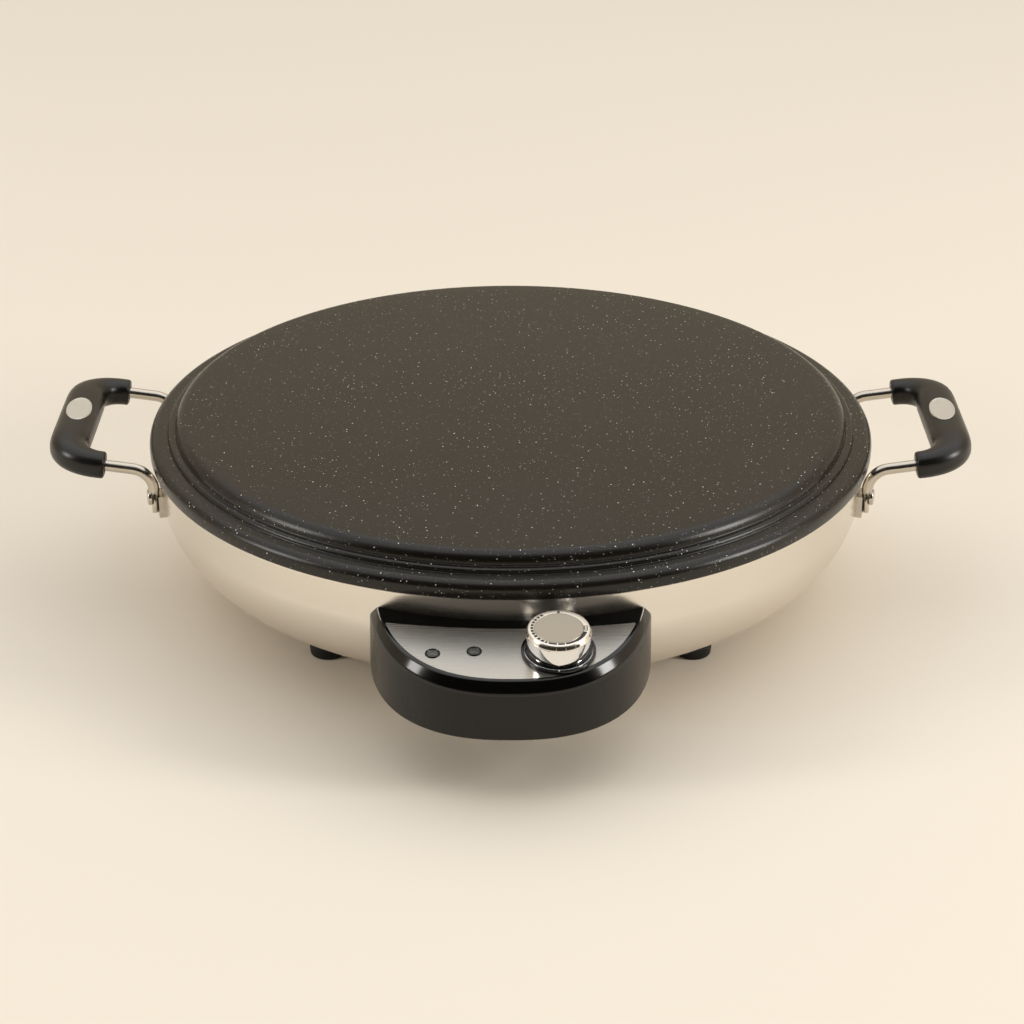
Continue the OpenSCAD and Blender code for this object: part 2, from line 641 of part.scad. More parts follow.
module wiring_loom() color([0.75, 0.72, 0.66]) {
    // supply to the thermostat
    lead([on_floor(-13, block_y + block_entry, 6), on_floor(-13, block_y - 12, 6), on_floor(-30, 40, 8),
          on_floor(-34, -90, 8), on_floor(-34, -128, 12), [-28, -(bowl_r - 26), window_z + 6],
          [-18, -(bowl_r + 3), window_z + 6], stat_point(-8, 4, stat_tab_low - 3),
          stat_point(-8, tab_in, stat_tab_low - 3), stat_point(-8, tab_in, stat_tab_low - seat)], lead_d);
    // thermostat to the fuse
    lead([stat_point(2, tab_in, stat_tab_low - seat), stat_point(2, tab_in, stat_tab_low - 3),
          stat_point(2, 2, stat_tab_low - 3),
          [11, 4 - bowl_r, window_z + 8], [10, 30 - bowl_r, window_z + 8], fuse_joint(1) + [0, -20, -6],
          fuse_joint(1) + [0, 0, -5], fuse_joint(1) - [0, 0, 0.1]], lead_d);
    // supply to the element
    lead([on_floor(0, block_y + block_entry, 6), on_floor(0, block_y - 12, 6), on_floor(-2, 30, 8),
          on_floor(-12, -80, 9), [-leg_x, -slot_mid, leg_low - 12],
          [-leg_x, -slot_mid, leg_low - seat]], lead_d);
    // fuse to the element
    lead([fuse_joint(-1) - [0, 0, 0.1], fuse_joint(-1) - [0, 0, 6], fuse_joint(-1) + [8, 8, -9],
          [leg_x - 6, 10 - slot_mid, leg_low - 11], [leg_x, 2 - slot_mid, leg_low - 11],
          [leg_x, -slot_mid, leg_low - 8], [leg_x, -slot_mid, leg_low - seat]], lead_d);
    // earth
    lead([on_floor(13, block_y + block_entry, 6), on_floor(13, block_y - 5, 6), on_floor(30, block_y - 5, 8),
          on_floor(earth_r * cos(earth_az) - 2, earth_r * sin(earth_az) - 9, 6),
          on_floor(earth_r * cos(earth_az), earth_r * sin(earth_az) - 5, 3.5)], lead_d);
    // lamps
    for (i = [0, 1]) lead([lamp_point(i, [0, 0, -lamp_len - 3.1]), lamp_point(i, [0, 1, -lamp_len - 8]),
        lamp_point(i, [2, 12, -lamp_len - 9]), [-26 + 6 * i, -(bowl_r - 6), window_z + 14]], 1.4);
}

module cord_gland() color(black) difference() {
    union() {
        translate([0, bowl_r - gland_in, gland_z]) rotate([-90, 0, 0])
            cylinder(d = gland_d, h = gland_in + gland_out);
        difference() {
            translate([0, bowl_r - 12, gland_z]) rotate([-90, 0, 0])
                cylinder(d = gland_flange_d, h = 12 + gland_flange_t);
            bowl_filled(seat);
        }
    }
    translate([0, bowl_r - gland_in - 1, gland_z]) rotate([-90, 0, 0])
        cylinder(d = gland_bore, h = gland_in + gland_out + 2);
}

module gland_nut() color(black) translate([0, bowl_r - bowl_t - 1.6, gland_z]) rotate([90, 0, 0])
    hex_nut(gland_d + 4, gland_d + 2 * fit, 4);

// ---------------------------------------------------------------- control box

function panel_z(y) = panel_z0 + (y - panel_y0) * tan(panel_tilt);

// A place on the panel, with Z along the panel's normal
module on_panel(x, y) translate([x, y, panel_z(y)]) rotate([panel_tilt, 0, 0]) children();

// The same place as a point: q is measured from (x, y) on the panel, along the panel's own axes
function panel_point(x, y, q) = [x + q[0], y + q[1] * cos(panel_tilt) - q[2] * sin(panel_tilt),
    panel_z(y) + q[1] * sin(panel_tilt) + q[2] * cos(panel_tilt)];
// Points at the thermostat: behind its back face, and at a height from its top
function stat_point(x, back, up) =
    panel_point(knob_x, knob_y, [x, stat_shift + stat_w / 2 + back, stat_top + up]);
function lamp_point(i, q) = panel_point(lamp_xy[i][0], lamp_xy[i][1], q);

lamp_xy = [[lamp_x_outer, box_y + lamp_back_outer], [lamp_x_inner, box_y + lamp_back_inner]];

module box_plan(side, front) translate([0, box_mid_y])
    polygon(half_oval(box_w / 2 - side, box_depth - front));

// The part of an upright prism that lies between two heights over the panel's surface
module panel_slice(low, high) intersection() {
    translate([0, 0, box_z - 5]) linear_extrude(80) children();
    on_panel(0, panel_y0) translate([-far / 2, -far / 2, low]) cube([far, far, high - low]);
}

module at_cover_screws() for (p = cover_screw_xy) translate([p[0], box_y + p[1], box_z]) children();

module box_body() hull() {
    translate([0, 0, box_z + cover_t]) linear_extrude(1) box_plan(0, 0);
    panel_slice(-bevel_drop - 0.2, -bevel_drop) box_plan(0, 0);
    panel_slice(-0.2, 0) box_plan(fascia_side - 1, fascia_front - 1);
}

module box_cavity() difference() {
    translate([0, 0, box_z - 1]) linear_extrude(80) box_plan(box_wall, box_wall);
    on_panel(0, panel_y0) translate([-far / 2, -far / 2, -roof_h]) cube([far, far, far]);
}

module fascia_plan(gap) difference() {
    box_plan(fascia_side - gap, fascia_front - gap);
    translate([0, panel_y0 + fascia_depth + gap + fascia_back_r]) circle(r = fascia_back_r, $fn = 96);
}

module control_housing() color(black) difference() {
    union() {
        difference() {
            box_body();
            box_cavity();
        }
        intersection() {
            box_body();
            union() {
                at_cover_screws() translate([0, 0, cover_t]) cylinder(d = cover_boss_d, h = 60);
                for (s = [-1, 1]) rotate([0, 0, s * box_screw_az])
                    translate([-5, -bowl_r - 12, box_screw_z - 5]) cube([10, 14, 60]);
            }
        }
    }
    bowl_filled(seat);
    panel_slice(-recess_d, 5) fascia_plan(0.25);
    on_panel(knob_x, knob_y) {
        translate([0, 0, -roof_h - 1]) cylinder(d = bush_d + 2 * fit, h = roof_h + 2);
        translate([0, 0, nut_top - nut_t - 0.1]) cylinder(d = bush_d + 8, h = 10);
    }
    for (p = lamp_xy) on_panel(p[0], p[1]) translate([0, 0, -roof_h - 1])
        cylinder(d = lamp_barrel_d + 2 * fit, h = roof_h + 2);
    at_cover_screws() cylinder(d = m3, h = cover_screw_len + 2);
    box_screw_bores(m4);
}

module control_cover() color(black) difference() {
    translate([0, 0, box_z]) linear_extrude(cover_t) box_plan(0.4, 0.4);
    bowl_filled(seat);
    at_cover_screws() translate([0, 0, -1]) cylinder(d = m3 + 2 * slip, h = cover_t + 2);
}

module control_cover_screws() color(steel)
    at_cover_screws() screw(m3 - 2 * fit, cover_screw_len, m3_head, m3_head_h);

module housing_screws() color(steel)
    for (s = [-1, 1]) rotate([0, 0, s * box_screw_az])
        translate([0, seat - bowl_in_r(box_screw_z - m4_head / 2), box_screw_z])
            rotate([90, 0, 0]) screw(m4 - 2 * fit, housing_screw_len, m4_head, m4_head_h);

module control_fascia() color(steel) difference() {
    panel_slice(-fascia_t, 0) fascia_plan(0);
    on_panel(knob_x, knob_y) translate([0, 0, -3]) cylinder(d = spindle_d + 3, h = 6);
    for (p = lamp_xy) on_panel(p[0], p[1]) translate([0, 0, -3]) cylinder(d = lamp_barrel_d + 2 * fit, h = 6);
}

module thermostat_body() color([0.80, 0.78, 0.72]) on_panel(knob_x, knob_y) difference() {
    union() {
        translate([-stat_w / 2, stat_shift - stat_w / 2, stat_bottom]) cube([stat_w, stat_w, stat_h]);
        for (x = [-8, 2]) translate([x - 3, stat_shift + stat_w / 2 + tab_in - 0.4, stat_top + stat_tab_low])
            cube([6, 0.8, 6 + eps]);
    }
    translate([0, 0, bush_low]) cylinder(d = bush_d + 2 * fit, h = 10);
    translate([0, 0, spindle_low - pin_gap - pin_len - pin_travel - 0.4])
        cylinder(d = pin_d + 2 * fit, h = 20);
}

module thermostat_bush() color([0.80, 0.65, 0.35]) on_panel(knob_x, knob_y)
    translate([0, 0, bush_low]) tube(bush_d, spindle_d + 2 * fit, nut_top - bush_low);

module thermostat_nut() color(steel) on_panel(knob_x, knob_y)
    translate([0, 0, nut_top - nut_t]) hex_nut(bush_d + 4, bush_d + 2 * fit, nut_t);

module thermostat_pin() color([0.90, 0.88, 0.84]) on_panel(knob_x, knob_y)
    translate([0, 0, spindle_low - pin_gap - pin_len]) cylinder(d = pin_d, h = pin_len);

// ---------------------------------------------------------------- knob

flat_cut = spindle_d * 0.27;         // depth of the flat that keys the knob to the spindle

module thermostat_spindle() color(chrome) on_panel(knob_x, knob_y) difference() {
    translate([0, 0, spindle_low]) cylinder(d = spindle_d, h = spindle_high - spindle_low);
    translate([-spindle_d, spindle_d / 2 - flat_cut, shank_h + 1]) cube([2 * spindle_d, spindle_d, 20]);
}

scoop_tilt = 19.7;                   // slope of the finger scoop
scoop_low = 2.5;                     // lowest point of the scoop over the panel
cap_t = 1.2;

module knob_body() color(chrome) on_panel(knob_x, knob_y) difference() {
    union() {
        rotate_extrude($fn = 96) polygon([
            [0, shoulder_h - 1.2], [knob_d / 2 - knob_wall, shoulder_h - 1.2],
            [knob_d / 2 - knob_wall, shank_h], [knob_d / 2 - 0.4, shank_h],
            [knob_d / 2 - 0.1, shoulder_h - 0.6], [knob_d / 2, shoulder_h],
            [knob_top_d / 2, knob_h - 0.5], [knob_top_d / 2 - 0.5, knob_h],
            [cap_d / 2, knob_h], [cap_d / 2, knob_h - cap_t], [0, knob_h - cap_t]]);
        translate([0, 0, shank_h]) cylinder(d = knob_hub_d, h = shoulder_h - 1 - shank_h);
    }
    difference() {
        translate([0, 0, shank_h - 1]) cylinder(d = spindle_d + 2 * fit, h = spindle_high - shank_h + 1.2);
        translate([-spindle_d, spindle_d / 2 - flat_cut + fit, shank_h + 1.2])
            cube([2 * spindle_d, spindle_d, 20]);
    }
    intersection() {
        translate([0, 0.05 - knob_d / 2, scoop_low]) rotate([-scoop_tilt, 0, 0])
            translate([-knob_d, -20, -20]) cube([2 * knob_d, 20, 60]);
        translate([-knob_d, -knob_d, 0]) cube([2 * knob_d, 2 * knob_d, shoulder_h - 0.6]);
    }
}

module knob_cap() color(steel) on_panel(knob_x, knob_y) difference() {
    translate([0, 0, knob_h - cap_t]) cylinder(d = cap_d - 0.1, h = cap_t);
    translate([0, cap_d / 2 - 1.6, knob_h - 0.4]) cylinder(d = 0.9, h = 1, $fn = 16);
}

bezel_wall = 1.1;
trim_in_d = knob_d + 0.7;

module knob_bezel() color(black) on_panel(knob_x, knob_y) rotate_extrude($fn = 72) polygon([
    [bezel_d / 2 - bezel_wall, 0], [bezel_d / 2, 0], [bezel_d / 2, 1], [bezel_d / 2 - 0.5, 1.7],
    [bezel_d / 2 - bezel_wall, 1.7]]);

module knob_bezel_trim() color(chrome) on_panel(knob_x, knob_y) rotate_extrude($fn = 72) polygon([
    [trim_in_d / 2, 0], [bezel_d / 2 - bezel_wall, 0], [bezel_d / 2 - bezel_wall, 1.3],
    [trim_in_d / 2 + 0.3, 1.3], [trim_in_d / 2, 0.9]]);

// ---------------------------------------------------------------- lamps

module lamp_bezel(i) color(chrome) on_panel(lamp_xy[i][0], lamp_xy[i][1]) difference() {
    union() {
        rotate_extrude() polygon([[0, 0], [lamp_d / 2, 0], [lamp_d / 2, 0.3], [lamp_d / 2 - 0.4, 0.7],
            [0, 0.7]]);
        translate([0, 0, -lamp_len]) cylinder(d = lamp_barrel_d, h = lamp_len + eps);
    }
    translate([0, 0, -lamp_len - 1]) cylinder(d = lamp_lens_d + 2 * fit, h = lamp_len + 3);
}

module lamp_lens(i) color([0.45, 0.45, 0.44]) on_panel(lamp_xy[i][0], lamp_xy[i][1])
    rotate_extrude() polygon(concat([[0, -1.2], [lamp_lens_d / 2, -1.2]],
        [for (a = [0:15:90]) [lamp_lens_d / 2 * cos(a), 0.2 + 0.6 * sin(a)]]));

module lamp_bezel_left() lamp_bezel(0);
module lamp_bezel_right() lamp_bezel(1);
module lamp_lens_left() lamp_lens(0);
module lamp_lens_right() lamp_lens(1);

module neon_lamps() color([0.85, 0.75, 0.65]) for (p = lamp_xy) on_panel(p[0], p[1]) {
    translate([0, 0, -lamp_len - 3]) cylinder(d = lamp_lens_d, h = 4);
    translate([0, 0, -lamp_len + 1 - eps]) cylinder(d = lamp_lens_d - 1.2, h = lamp_len - 2.5);
}

// ---------------------------------------------------------------- handles

// A handle's sloped plane: u outwards, v along the plate's edge, its origin at the end of the bend
arm_len = handle_reach - corner_r;
side_half = arm_y - corner_r;        // half of the straight far side
wire_neck = 2;                       // stretch where the round wire passes into its flattened end
lap = 0.5;                           // the straight stretches run this far over the bend's ends

module handle_plane()
    translate([bend_x - bend_r * sin(handle_slope), 0, strap_top + bend_r * cos(handle_slope)])
        rotate([0, -handle_slope, 0]) children();

module wire_path() {
    handle_plane() {
        for (t = [-1, 1]) {
            translate([-lap, t * arm_y, 0]) rotate([0, 90, 0]) cylinder(d = wire_d, h = arm_len + lap);
            translate([arm_len, t * side_half, 0]) rotate([0, 0, t > 0 ? 0 : -90])
                rotate_extrude(angle = 90) translate([corner_r, 0]) circle(d = wire_d);
        }
        translate([handle_reach, -side_half, 0]) rotate([-90, 0, 0]) cylinder(d = wire_d, h = 2 * side_half);
    }
    for (t = [-1, 1]) translate([bend_x, t * arm_y, strap_top]) {
        rotate([90, 0, 0]) rotate([0, 0, 90 + handle_slope]) rotate_extrude(angle = 90 - handle_slope)
            translate([bend_r, 0]) circle(d = wire_d - 0.06);
        translate([-bend_r, 0, -wire_neck]) cylinder(d = wire_d, h = wire_neck + lap);
    }
}

module flattened_ends() for (t = [-1, 1]) rotate([0, 0, t * strap_az]) {
    translate([strap_r, -lug_w / 2, strap_low + lug_w / 2]) cube([lug_t, lug_w, lug_len - lug_w / 2 - 0.5]);
    translate([strap_r, 0, strap_low + lug_w / 2]) rotate([0, 90, 0]) cylinder(d = lug_w, h = lug_t);
}

module strap_bores(d) for (t = [-1, 1]) rotate([0, 0, t * strap_az])
    translate([strap_r - 12, 0, rivet_z]) rotate([0, 90, 0]) cylinder(d = d, h = 24);

module handle_wire(s) color(steel) sided(s) difference() {
    union() {
        wire_path();
        flattened_ends();
    }
    strap_bores(m4 + 2 * fit);
    // seats of the rivets' heads
    for (t = [-1, 1]) rotate([0, 0, t * strap_az]) translate([strap_r + lug_t, 0, rivet_z])
        rotate([0, 90, 0]) cylinder(d = rivet_d + 2 * fit, h = wire_d);
}

module handle_wire_left() handle_wire(-1);
module handle_wire_right() handle_wire(1);

// Grip: a hollow sweep round the wire, oval in its middle and round at its ends
grip_stations = 36;
grip_sides = 20;
straight = arm_len - bare_arm;
half_len = straight + corner_r * PI / 2 + side_half;

// Centre line from the end of one arm (q = 0) to the middle of the far side (q = half_len)
function grip_at(q) = q <= straight ? [bare_arm + q, arm_y, 90]
    : q <= straight + corner_r * PI / 2
        ? let (a = 90 - (q - straight) / corner_r * 180 / PI)
            [arm_len + corner_r * cos(a), side_half + corner_r * sin(a), a]
        : [handle_reach, half_len - q, 0];
function grip_place(i) = let (q = 2 * half_len * i / grip_stations)
    q <= half_len ? grip_at(q) : let (p = grip_at(2 * half_len - q)) [p[0], -p[1], -p[2]];
function ease(x) = let (y = min(1, max(0, x))) y * y * (3 - 2 * y);
function grip_blend(i) = ease(1.6 * (1 - abs(2 * i / grip_stations - 1)));
function grip_tip(i) = min(i, grip_stations - i) == 0 ? 0.86 : 1;
function grip_half_w(i) = grip_tip(i) * (grip_end_d + (grip_w - grip_end_d) * grip_blend(i)) / 2;
function grip_half_h(i) = grip_tip(i) * (grip_end_d + (grip_h - grip_end_d) * grip_blend(i)) / 2;
// One ring of the sweep: n > 2 squares the section off
function grip_ring(i, hw, hh, n) = let (p = grip_place(i), nx = cos(p[2]), ny = sin(p[2]))
    [for (k = [0:grip_sides - 1]) let (a = 360 * k / grip_sides,
        w = hw * sign(cos(a)) * pow(abs(cos(a)), 2 / n), h = hh * sign(sin(a)) * pow(abs(sin(a)), 2 / n))
        [p[0] + nx * w, p[1] + ny * w, h]];
grip_points = concat(
    [for (i = [0:grip_stations]) each grip_ring(i, grip_half_w(i), grip_half_h(i), 2 + 0.6 * grip_blend(i))],
    [for (i = [0:grip_stations]) each grip_ring(i, wire_d / 2 + slip, wire_d / 2 + slip, 2)]);
grip_inner = (grip_stations + 1) * grip_sides;
function ring_next(k) = (k + 1) % grip_sides;
grip_faces = concat(
    [for (i = [0:grip_stations - 1], k = [0:grip_sides - 1]) let (a = i * grip_sides, b = a + grip_sides)
        [a + k, b + k, b + ring_next(k), a + ring_next(k)]],
    [for (i = [0:grip_stations - 1], k = [0:grip_sides - 1])
        let (a = grip_inner + i * grip_sides, b = a + grip_sides)
            [a + ring_next(k), b + ring_next(k), b + k, a + k]],
    [for (k = [0:grip_sides - 1]) [ring_next(k), grip_inner + ring_next(k), grip_inner + k, k]],
    [for (k = [0:grip_sides - 1]) let (a = grip_stations * grip_sides)
        [a + k, grip_inner + a + k, grip_inner + a + ring_next(k), a + ring_next(k)]]);

module handle_grip(s) color(black) sided(s) handle_plane() difference() {
    polyhedron(grip_points, grip_faces, convexity = 6);
    translate([handle_reach, 0, grip_h / 2 - badge_sunk]) linear_extrude(10) badge_plan(fit);
}

badge_t = 1.2;
badge_sunk = badge_t;                // its face is flush with the grip's crown
module badge_plan(gap)
    polygon([for (a = [0:10:350]) [(badge_w / 2 + gap) * cos(a), (badge_l / 2 + gap) * sin(a)]]);

module grip_badge(s) color(chrome) sided(s) handle_plane()
    translate([handle_reach, 0, grip_h / 2 - badge_sunk]) linear_extrude(badge_t) badge_plan(0);

module handle_grip_left() handle_grip(-1);
module handle_grip_right() handle_grip(1);
module grip_badge_left() grip_badge(-1);
module grip_badge_right() grip_badge(1);

backing_edge = 0.8;                  // how far the backing plate shows round a flattened end

module handle_backing(s) color(steel) sided(s) difference() {
    for (t = [-1, 1]) rotate([0, 0, t * strap_az])
        translate([strap_r - backing_t - 3, -lug_w / 2 - backing_edge, strap_low - backing_edge])
            cube([backing_t + 3 - seat / 2, lug_w + 2 * backing_edge,
                lug_len + backing_edge - wire_neck - seat]);
    bowl_filled(seat / 2);
    strap_bores(m4 + 2 * fit);
}

module handle_backing_left() handle_backing(-1);
module handle_backing_right() handle_backing(1);

module handle_rivets(s) color(chrome) sided(s) for (t = [-1, 1]) rotate([0, 0, t * strap_az])
    translate([0, 0, rivet_z]) rotate([0, 90, 0]) {
        translate([0, 0, shop_head_r - 1.4]) {
            cylinder(d = 6.5, h = 1.4);
            cylinder(d = m4, h = strap_r + lug_t + 1 - shop_head_r + 1.4);
        }
        translate([0, 0, strap_r + lug_t]) rotate_extrude() polygon([[0, 0], [rivet_d / 2, 0],
            [rivet_d / 2 - 0.2, 1], [rivet_d / 2 - 1.3, 2.1], [rivet_d / 2 - 2.8, 2.6], [0, 2.6]]);
    }

module handle_rivets_left() handle_rivets(-1);
module handle_rivets_right() handle_rivets(1);

// ---------------------------------------------------------------- nodes

placed() baking_plate();
placed() heating_element();
placed() element_clamp();
placed() clamp_screws();
placed() tie_rods();
placed() tie_nuts();
placed() heat_shield();
placed() shield_spacers();
placed() shield_nuts();
placed() sensor_bulb();
placed() sensor_clip();
placed() thermal_fuse();
placed() fuse_clip();
placed() base_bowl();
placed() access_cover();
placed() access_screws();
placed() foot_front_left();
placed() foot_front_right();
placed() foot_rear_left();
placed() foot_rear_right();
placed() foot_screws();
placed() terminal_block();
placed() earth_stud();
placed() wiring_loom();
placed() cord_gland();
placed() gland_nut();
placed() control_housing();
placed() control_cover();
placed() control_cover_screws();
placed() housing_screws();
placed() control_fascia();
placed() thermostat_body();
placed() thermostat_bush();
placed() thermostat_nut();
placed() thermostat_spindle();
placed() thermostat_pin();
placed() knob_body();
placed() knob_cap();
placed() knob_bezel();
placed() knob_bezel_trim();
placed() lamp_bezel_left();
placed() lamp_bezel_right();
placed() lamp_lens_left();
placed() lamp_lens_right();
placed() neon_lamps();
placed() handle_wire_left();
placed() handle_wire_right();
placed() handle_grip_left();
placed() handle_grip_right();
placed() grip_badge_left();
placed() grip_badge_right();
placed() handle_backing_left();
placed() handle_backing_right();
placed() handle_rivets_left();
placed() handle_rivets_right();
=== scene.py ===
"""Dressed model of an electric crepe maker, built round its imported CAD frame.

Blender works in metres, +Z up. The plate's axis stands at PLATE_AXIS; the control box is at the front
(-Y) and a handle at each side (+X, -X). The sizes that the classes hold and the points of their
profiles are in millimetres, from the plate's axis or from the piece's own.
"""

import json
import logging
import math
from collections.abc import Callable, Iterator, Sequence
from contextlib import contextmanager
from dataclasses import dataclass, field
from enum import Enum
from typing import Any

import bmesh
import bpy
from mathutils import Matrix, Vector

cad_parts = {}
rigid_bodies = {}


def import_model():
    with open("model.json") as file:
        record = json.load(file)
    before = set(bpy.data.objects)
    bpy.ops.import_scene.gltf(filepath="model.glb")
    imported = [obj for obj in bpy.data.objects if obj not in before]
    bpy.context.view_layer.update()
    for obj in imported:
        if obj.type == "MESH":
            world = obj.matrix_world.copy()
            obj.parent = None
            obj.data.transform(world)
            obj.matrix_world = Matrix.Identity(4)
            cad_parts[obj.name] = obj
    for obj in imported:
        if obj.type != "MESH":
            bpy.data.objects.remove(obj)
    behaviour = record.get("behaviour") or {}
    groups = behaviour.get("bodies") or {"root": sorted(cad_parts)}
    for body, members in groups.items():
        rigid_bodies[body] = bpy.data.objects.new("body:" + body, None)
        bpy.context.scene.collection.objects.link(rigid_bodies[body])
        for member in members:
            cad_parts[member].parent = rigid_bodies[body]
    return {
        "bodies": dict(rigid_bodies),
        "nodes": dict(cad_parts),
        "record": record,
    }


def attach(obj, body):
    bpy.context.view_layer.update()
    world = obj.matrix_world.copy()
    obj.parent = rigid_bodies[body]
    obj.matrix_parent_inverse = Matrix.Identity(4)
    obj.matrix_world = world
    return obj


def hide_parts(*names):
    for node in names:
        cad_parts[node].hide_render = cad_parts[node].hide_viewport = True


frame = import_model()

LOG = logging.getLogger("crepe_maker")
MM = 0.001
PLATE_AXIS = Vector((0.0, 18.75, 0.0)) * MM
ON_AXIS = Matrix.Translation(PLATE_AXIS)
UP = Vector((0, 0, 1))
WELD = 1e-6  # points closer than this, in metres, are one
ON_PLANE = 1e-5  # a point nearer than this to a plane lies on it
SMOOTH_BELOW = 32.0  # edges that turn less than this, in degrees, are shaded smooth
MIDDLE = (0.3, 0.7)  # the range that soft noise mostly keeps to

Point = tuple[float, float]
Triple = tuple[float, float, float]
Colour = tuple[float, float, float]
Test = Callable[[Any], bool]


class Part(Enum):
    """What a selection in edit mode is made of."""

    VERTS = "VERT"
    EDGES = "EDGE"
    FACES = "FACE"


class Side(Enum):
    """A side of the appliance, seen from the front."""

    LEFT = "left"
    RIGHT = "right"


# ---------------------------------------------------------------- bench: modelling tools


def mm(*values: float) -> Vector:
    """A point or step given in millimetres."""
    return Vector(values) * MM


def arc(centre: Point, radius: float, start: float, end: float, steps: int = 8) -> list[Point]:
    """Points of an arc.

    Args:
        centre: the arc's centre.
        radius: its radius.
        start: angle of the first point, in degrees.
        end: angle of the last point, in degrees.
        steps: how many chords it has.

    Returns:
        The points, both ends included.
    """
    turns = [math.radians(start + (end - start) * i / steps) for i in range(steps + 1)]
    return [(centre[0] + radius * math.cos(t), centre[1] + radius * math.sin(t)) for t in turns]


def brow(edge: float, top: float, radius: float, end: float, steps: int) -> list[Point]:
    """The rounding from a flat top down to an upright edge, up to an angle in degrees."""
    return arc((edge - radius, top - radius), radius, 90, end, steps)


def activate(piece: bpy.types.Object) -> None:
    """Selects one piece alone and makes it the active one.

    Args:
        piece: the piece.
    """
    bpy.ops.object.select_all(action="DESELECT")
    piece.select_set(True)
    bpy.context.view_layer.objects.active = piece


@contextmanager
def editing(piece: bpy.types.Object, all_selected: bool = True) -> Iterator[None]:
    """Edit mode on one piece.

    Args:
        piece: the piece to edit.
        all_selected: whether everything is selected at the start, or nothing.
    """
    activate(piece)
    bpy.ops.object.mode_set(mode="EDIT")
    bpy.ops.mesh.select_all(action="SELECT" if all_selected else "DESELECT")
    yield
    bpy.ops.object.mode_set(mode="OBJECT")


def pick(piece: bpy.types.Object, kind: Part, wanted: Test) -> int:
    """Selects the vertices, edges or faces that pass a test, and nothing else.

    Args:
        piece: the piece in edit mode.
        kind: what is selected.
        wanted: the test, given a vertex, edge or face.

    Returns:
        How many passed.
    """
    bpy.ops.mesh.select_mode(type=kind.value)
    bpy.ops.mesh.select_all(action="DESELECT")
    shape = bmesh.from_edit_mesh(piece.data)
    found = [part for part in getattr(shape, kind.name.lower()) if wanted(part)]
    for part in found:
        part.select_set(True)
    shape.select_flush_mode()
    bmesh.update_edit_mesh(piece.data)
    return len(found)


def edge_middle(edge: bmesh.types.BMEdge) -> Vector:
    """The middle of an edge."""
    return (edge.verts[0].co + edge.verts[1].co) / 2


def edge_turn(edge: bmesh.types.BMEdge) -> float:
    """The angle between an edge's two faces, in degrees, or 0 for any other edge."""
    return math.degrees(edge.calc_face_angle(0.0)) if len(edge.link_faces) == 2 else 0.0


def is_upright(edge: bmesh.types.BMEdge) -> bool:
    """Whether an edge stands upright."""
    return abs((edge.verts[0].co - edge.verts[1].co).normalized().z) > 0.99


def begin(name: str, add: Callable[..., Any], **settings: Any) -> bpy.types.Object:
    """Adds a primitive while nothing else is selected.

    Args:
        name: the piece's name.
        add: the operator that adds the primitive.
        settings: the operator's own settings.

    Returns:
        The primitive.
    """
    bpy.ops.object.select_all(action="DESELECT")
    add(**settings)
    bpy.context.object.name = name
    return bpy.context.object


def settle(piece: bpy.types.Object, place: Matrix | None = None) -> bpy.types.Object:
    """Moves a piece to its place and puts that place into its mesh.

    Args:
        piece: the piece.
        place: where it goes, or None where it already stands there.

    Returns:
        The same piece, with its object at the origin.
    """
    if place is not None:
        piece.matrix_world = place @ piece.matrix_world
    activate(piece)
    bpy.ops.object.transform_apply(location=True, rotation=True, scale=True)
    return piece


def draw_line(name: str, points: Sequence[Vector], closed: bool = False) -> bpy.types.Object:
    """Draws a line of vertices by extruding a first one from point to point.

    Args:
        name: the piece's name.
        points: where the line goes.
        closed: whether its end is joined to its start.

    Returns:
        The line as a mesh with no faces.
    """
    line = settle(begin(name, bpy.ops.mesh.primitive_plane_add, size=MM, location=points[0]))
    with editing(line, all_selected=False):
        shape = bmesh.from_edit_mesh(line.data)
        shape.verts.ensure_lookup_table()
        shape.verts[0].co = points[0]
        pick(line, Part.VERTS, lambda vert: (vert.co - points[0]).length > 0)
        bpy.ops.mesh.delete(type="VERT")
        bpy.ops.mesh.select_all(action="SELECT")
        route = [*points, points[0]] if closed else points
        for here, there in zip(route, route[1:]):
            bpy.ops.mesh.extrude_vertices_move(TRANSFORM_OT_translate={"value": there - here})
        if closed:
            bpy.ops.mesh.select_all(action="SELECT")
            bpy.ops.mesh.remove_doubles(threshold=WELD)
    return line


def push_out(step: Sequence[float]) -> None:
    """Extrudes what is selected by a step, in metres."""
    bpy.ops.mesh.extrude_region_move(TRANSFORM_OT_translate={"value": step})


def face_outwards(piece: bpy.types.Object) -> None:
    """Merges a piece's doubles and turns its faces outwards.

    Args:
        piece: the piece.
    """
    with editing(piece):
        bpy.ops.mesh.remove_doubles(threshold=WELD)
        bpy.ops.mesh.normals_make_consistent(inside=False)


def smooth(piece: bpy.types.Object, angle: float = SMOOTH_BELOW) -> bpy.types.Object:
    """Shades a piece smooth but for its sharp edges.

    Args:
        piece: the piece.
        angle: how far an edge turns before it is sharp, in degrees.

    Returns:
        The same piece.
    """
    activate(piece)
    bpy.ops.object.shade_smooth_by_angle(angle=math.radians(angle))
    return piece


def turned(name: str, profile: Sequence[Point], place: Matrix, steps: int = 96,
           closed: bool = True) -> bpy.types.Object:
    """Turns a profile round an upright axis, as on a lathe.

    Args:
        name: the piece's name.
        profile: (radius, height) points in millimetres, in order.
        place: where the axis stands.
        steps: sides of the turned shape.
        closed: whether the profile is a loop clear of the axis.

    Returns:
        The finished piece, smooth but for its sharp edges.
    """
    line = draw_line(name, [mm(r, 0, z) for r, z in profile], closed)
    with editing(line):
        bpy.ops.mesh.spin(steps=steps, angle=math.tau, center=(0, 0, 0), axis=(0, 0, 1))
    face_outwards(line)
    return smooth(settle(line, place))


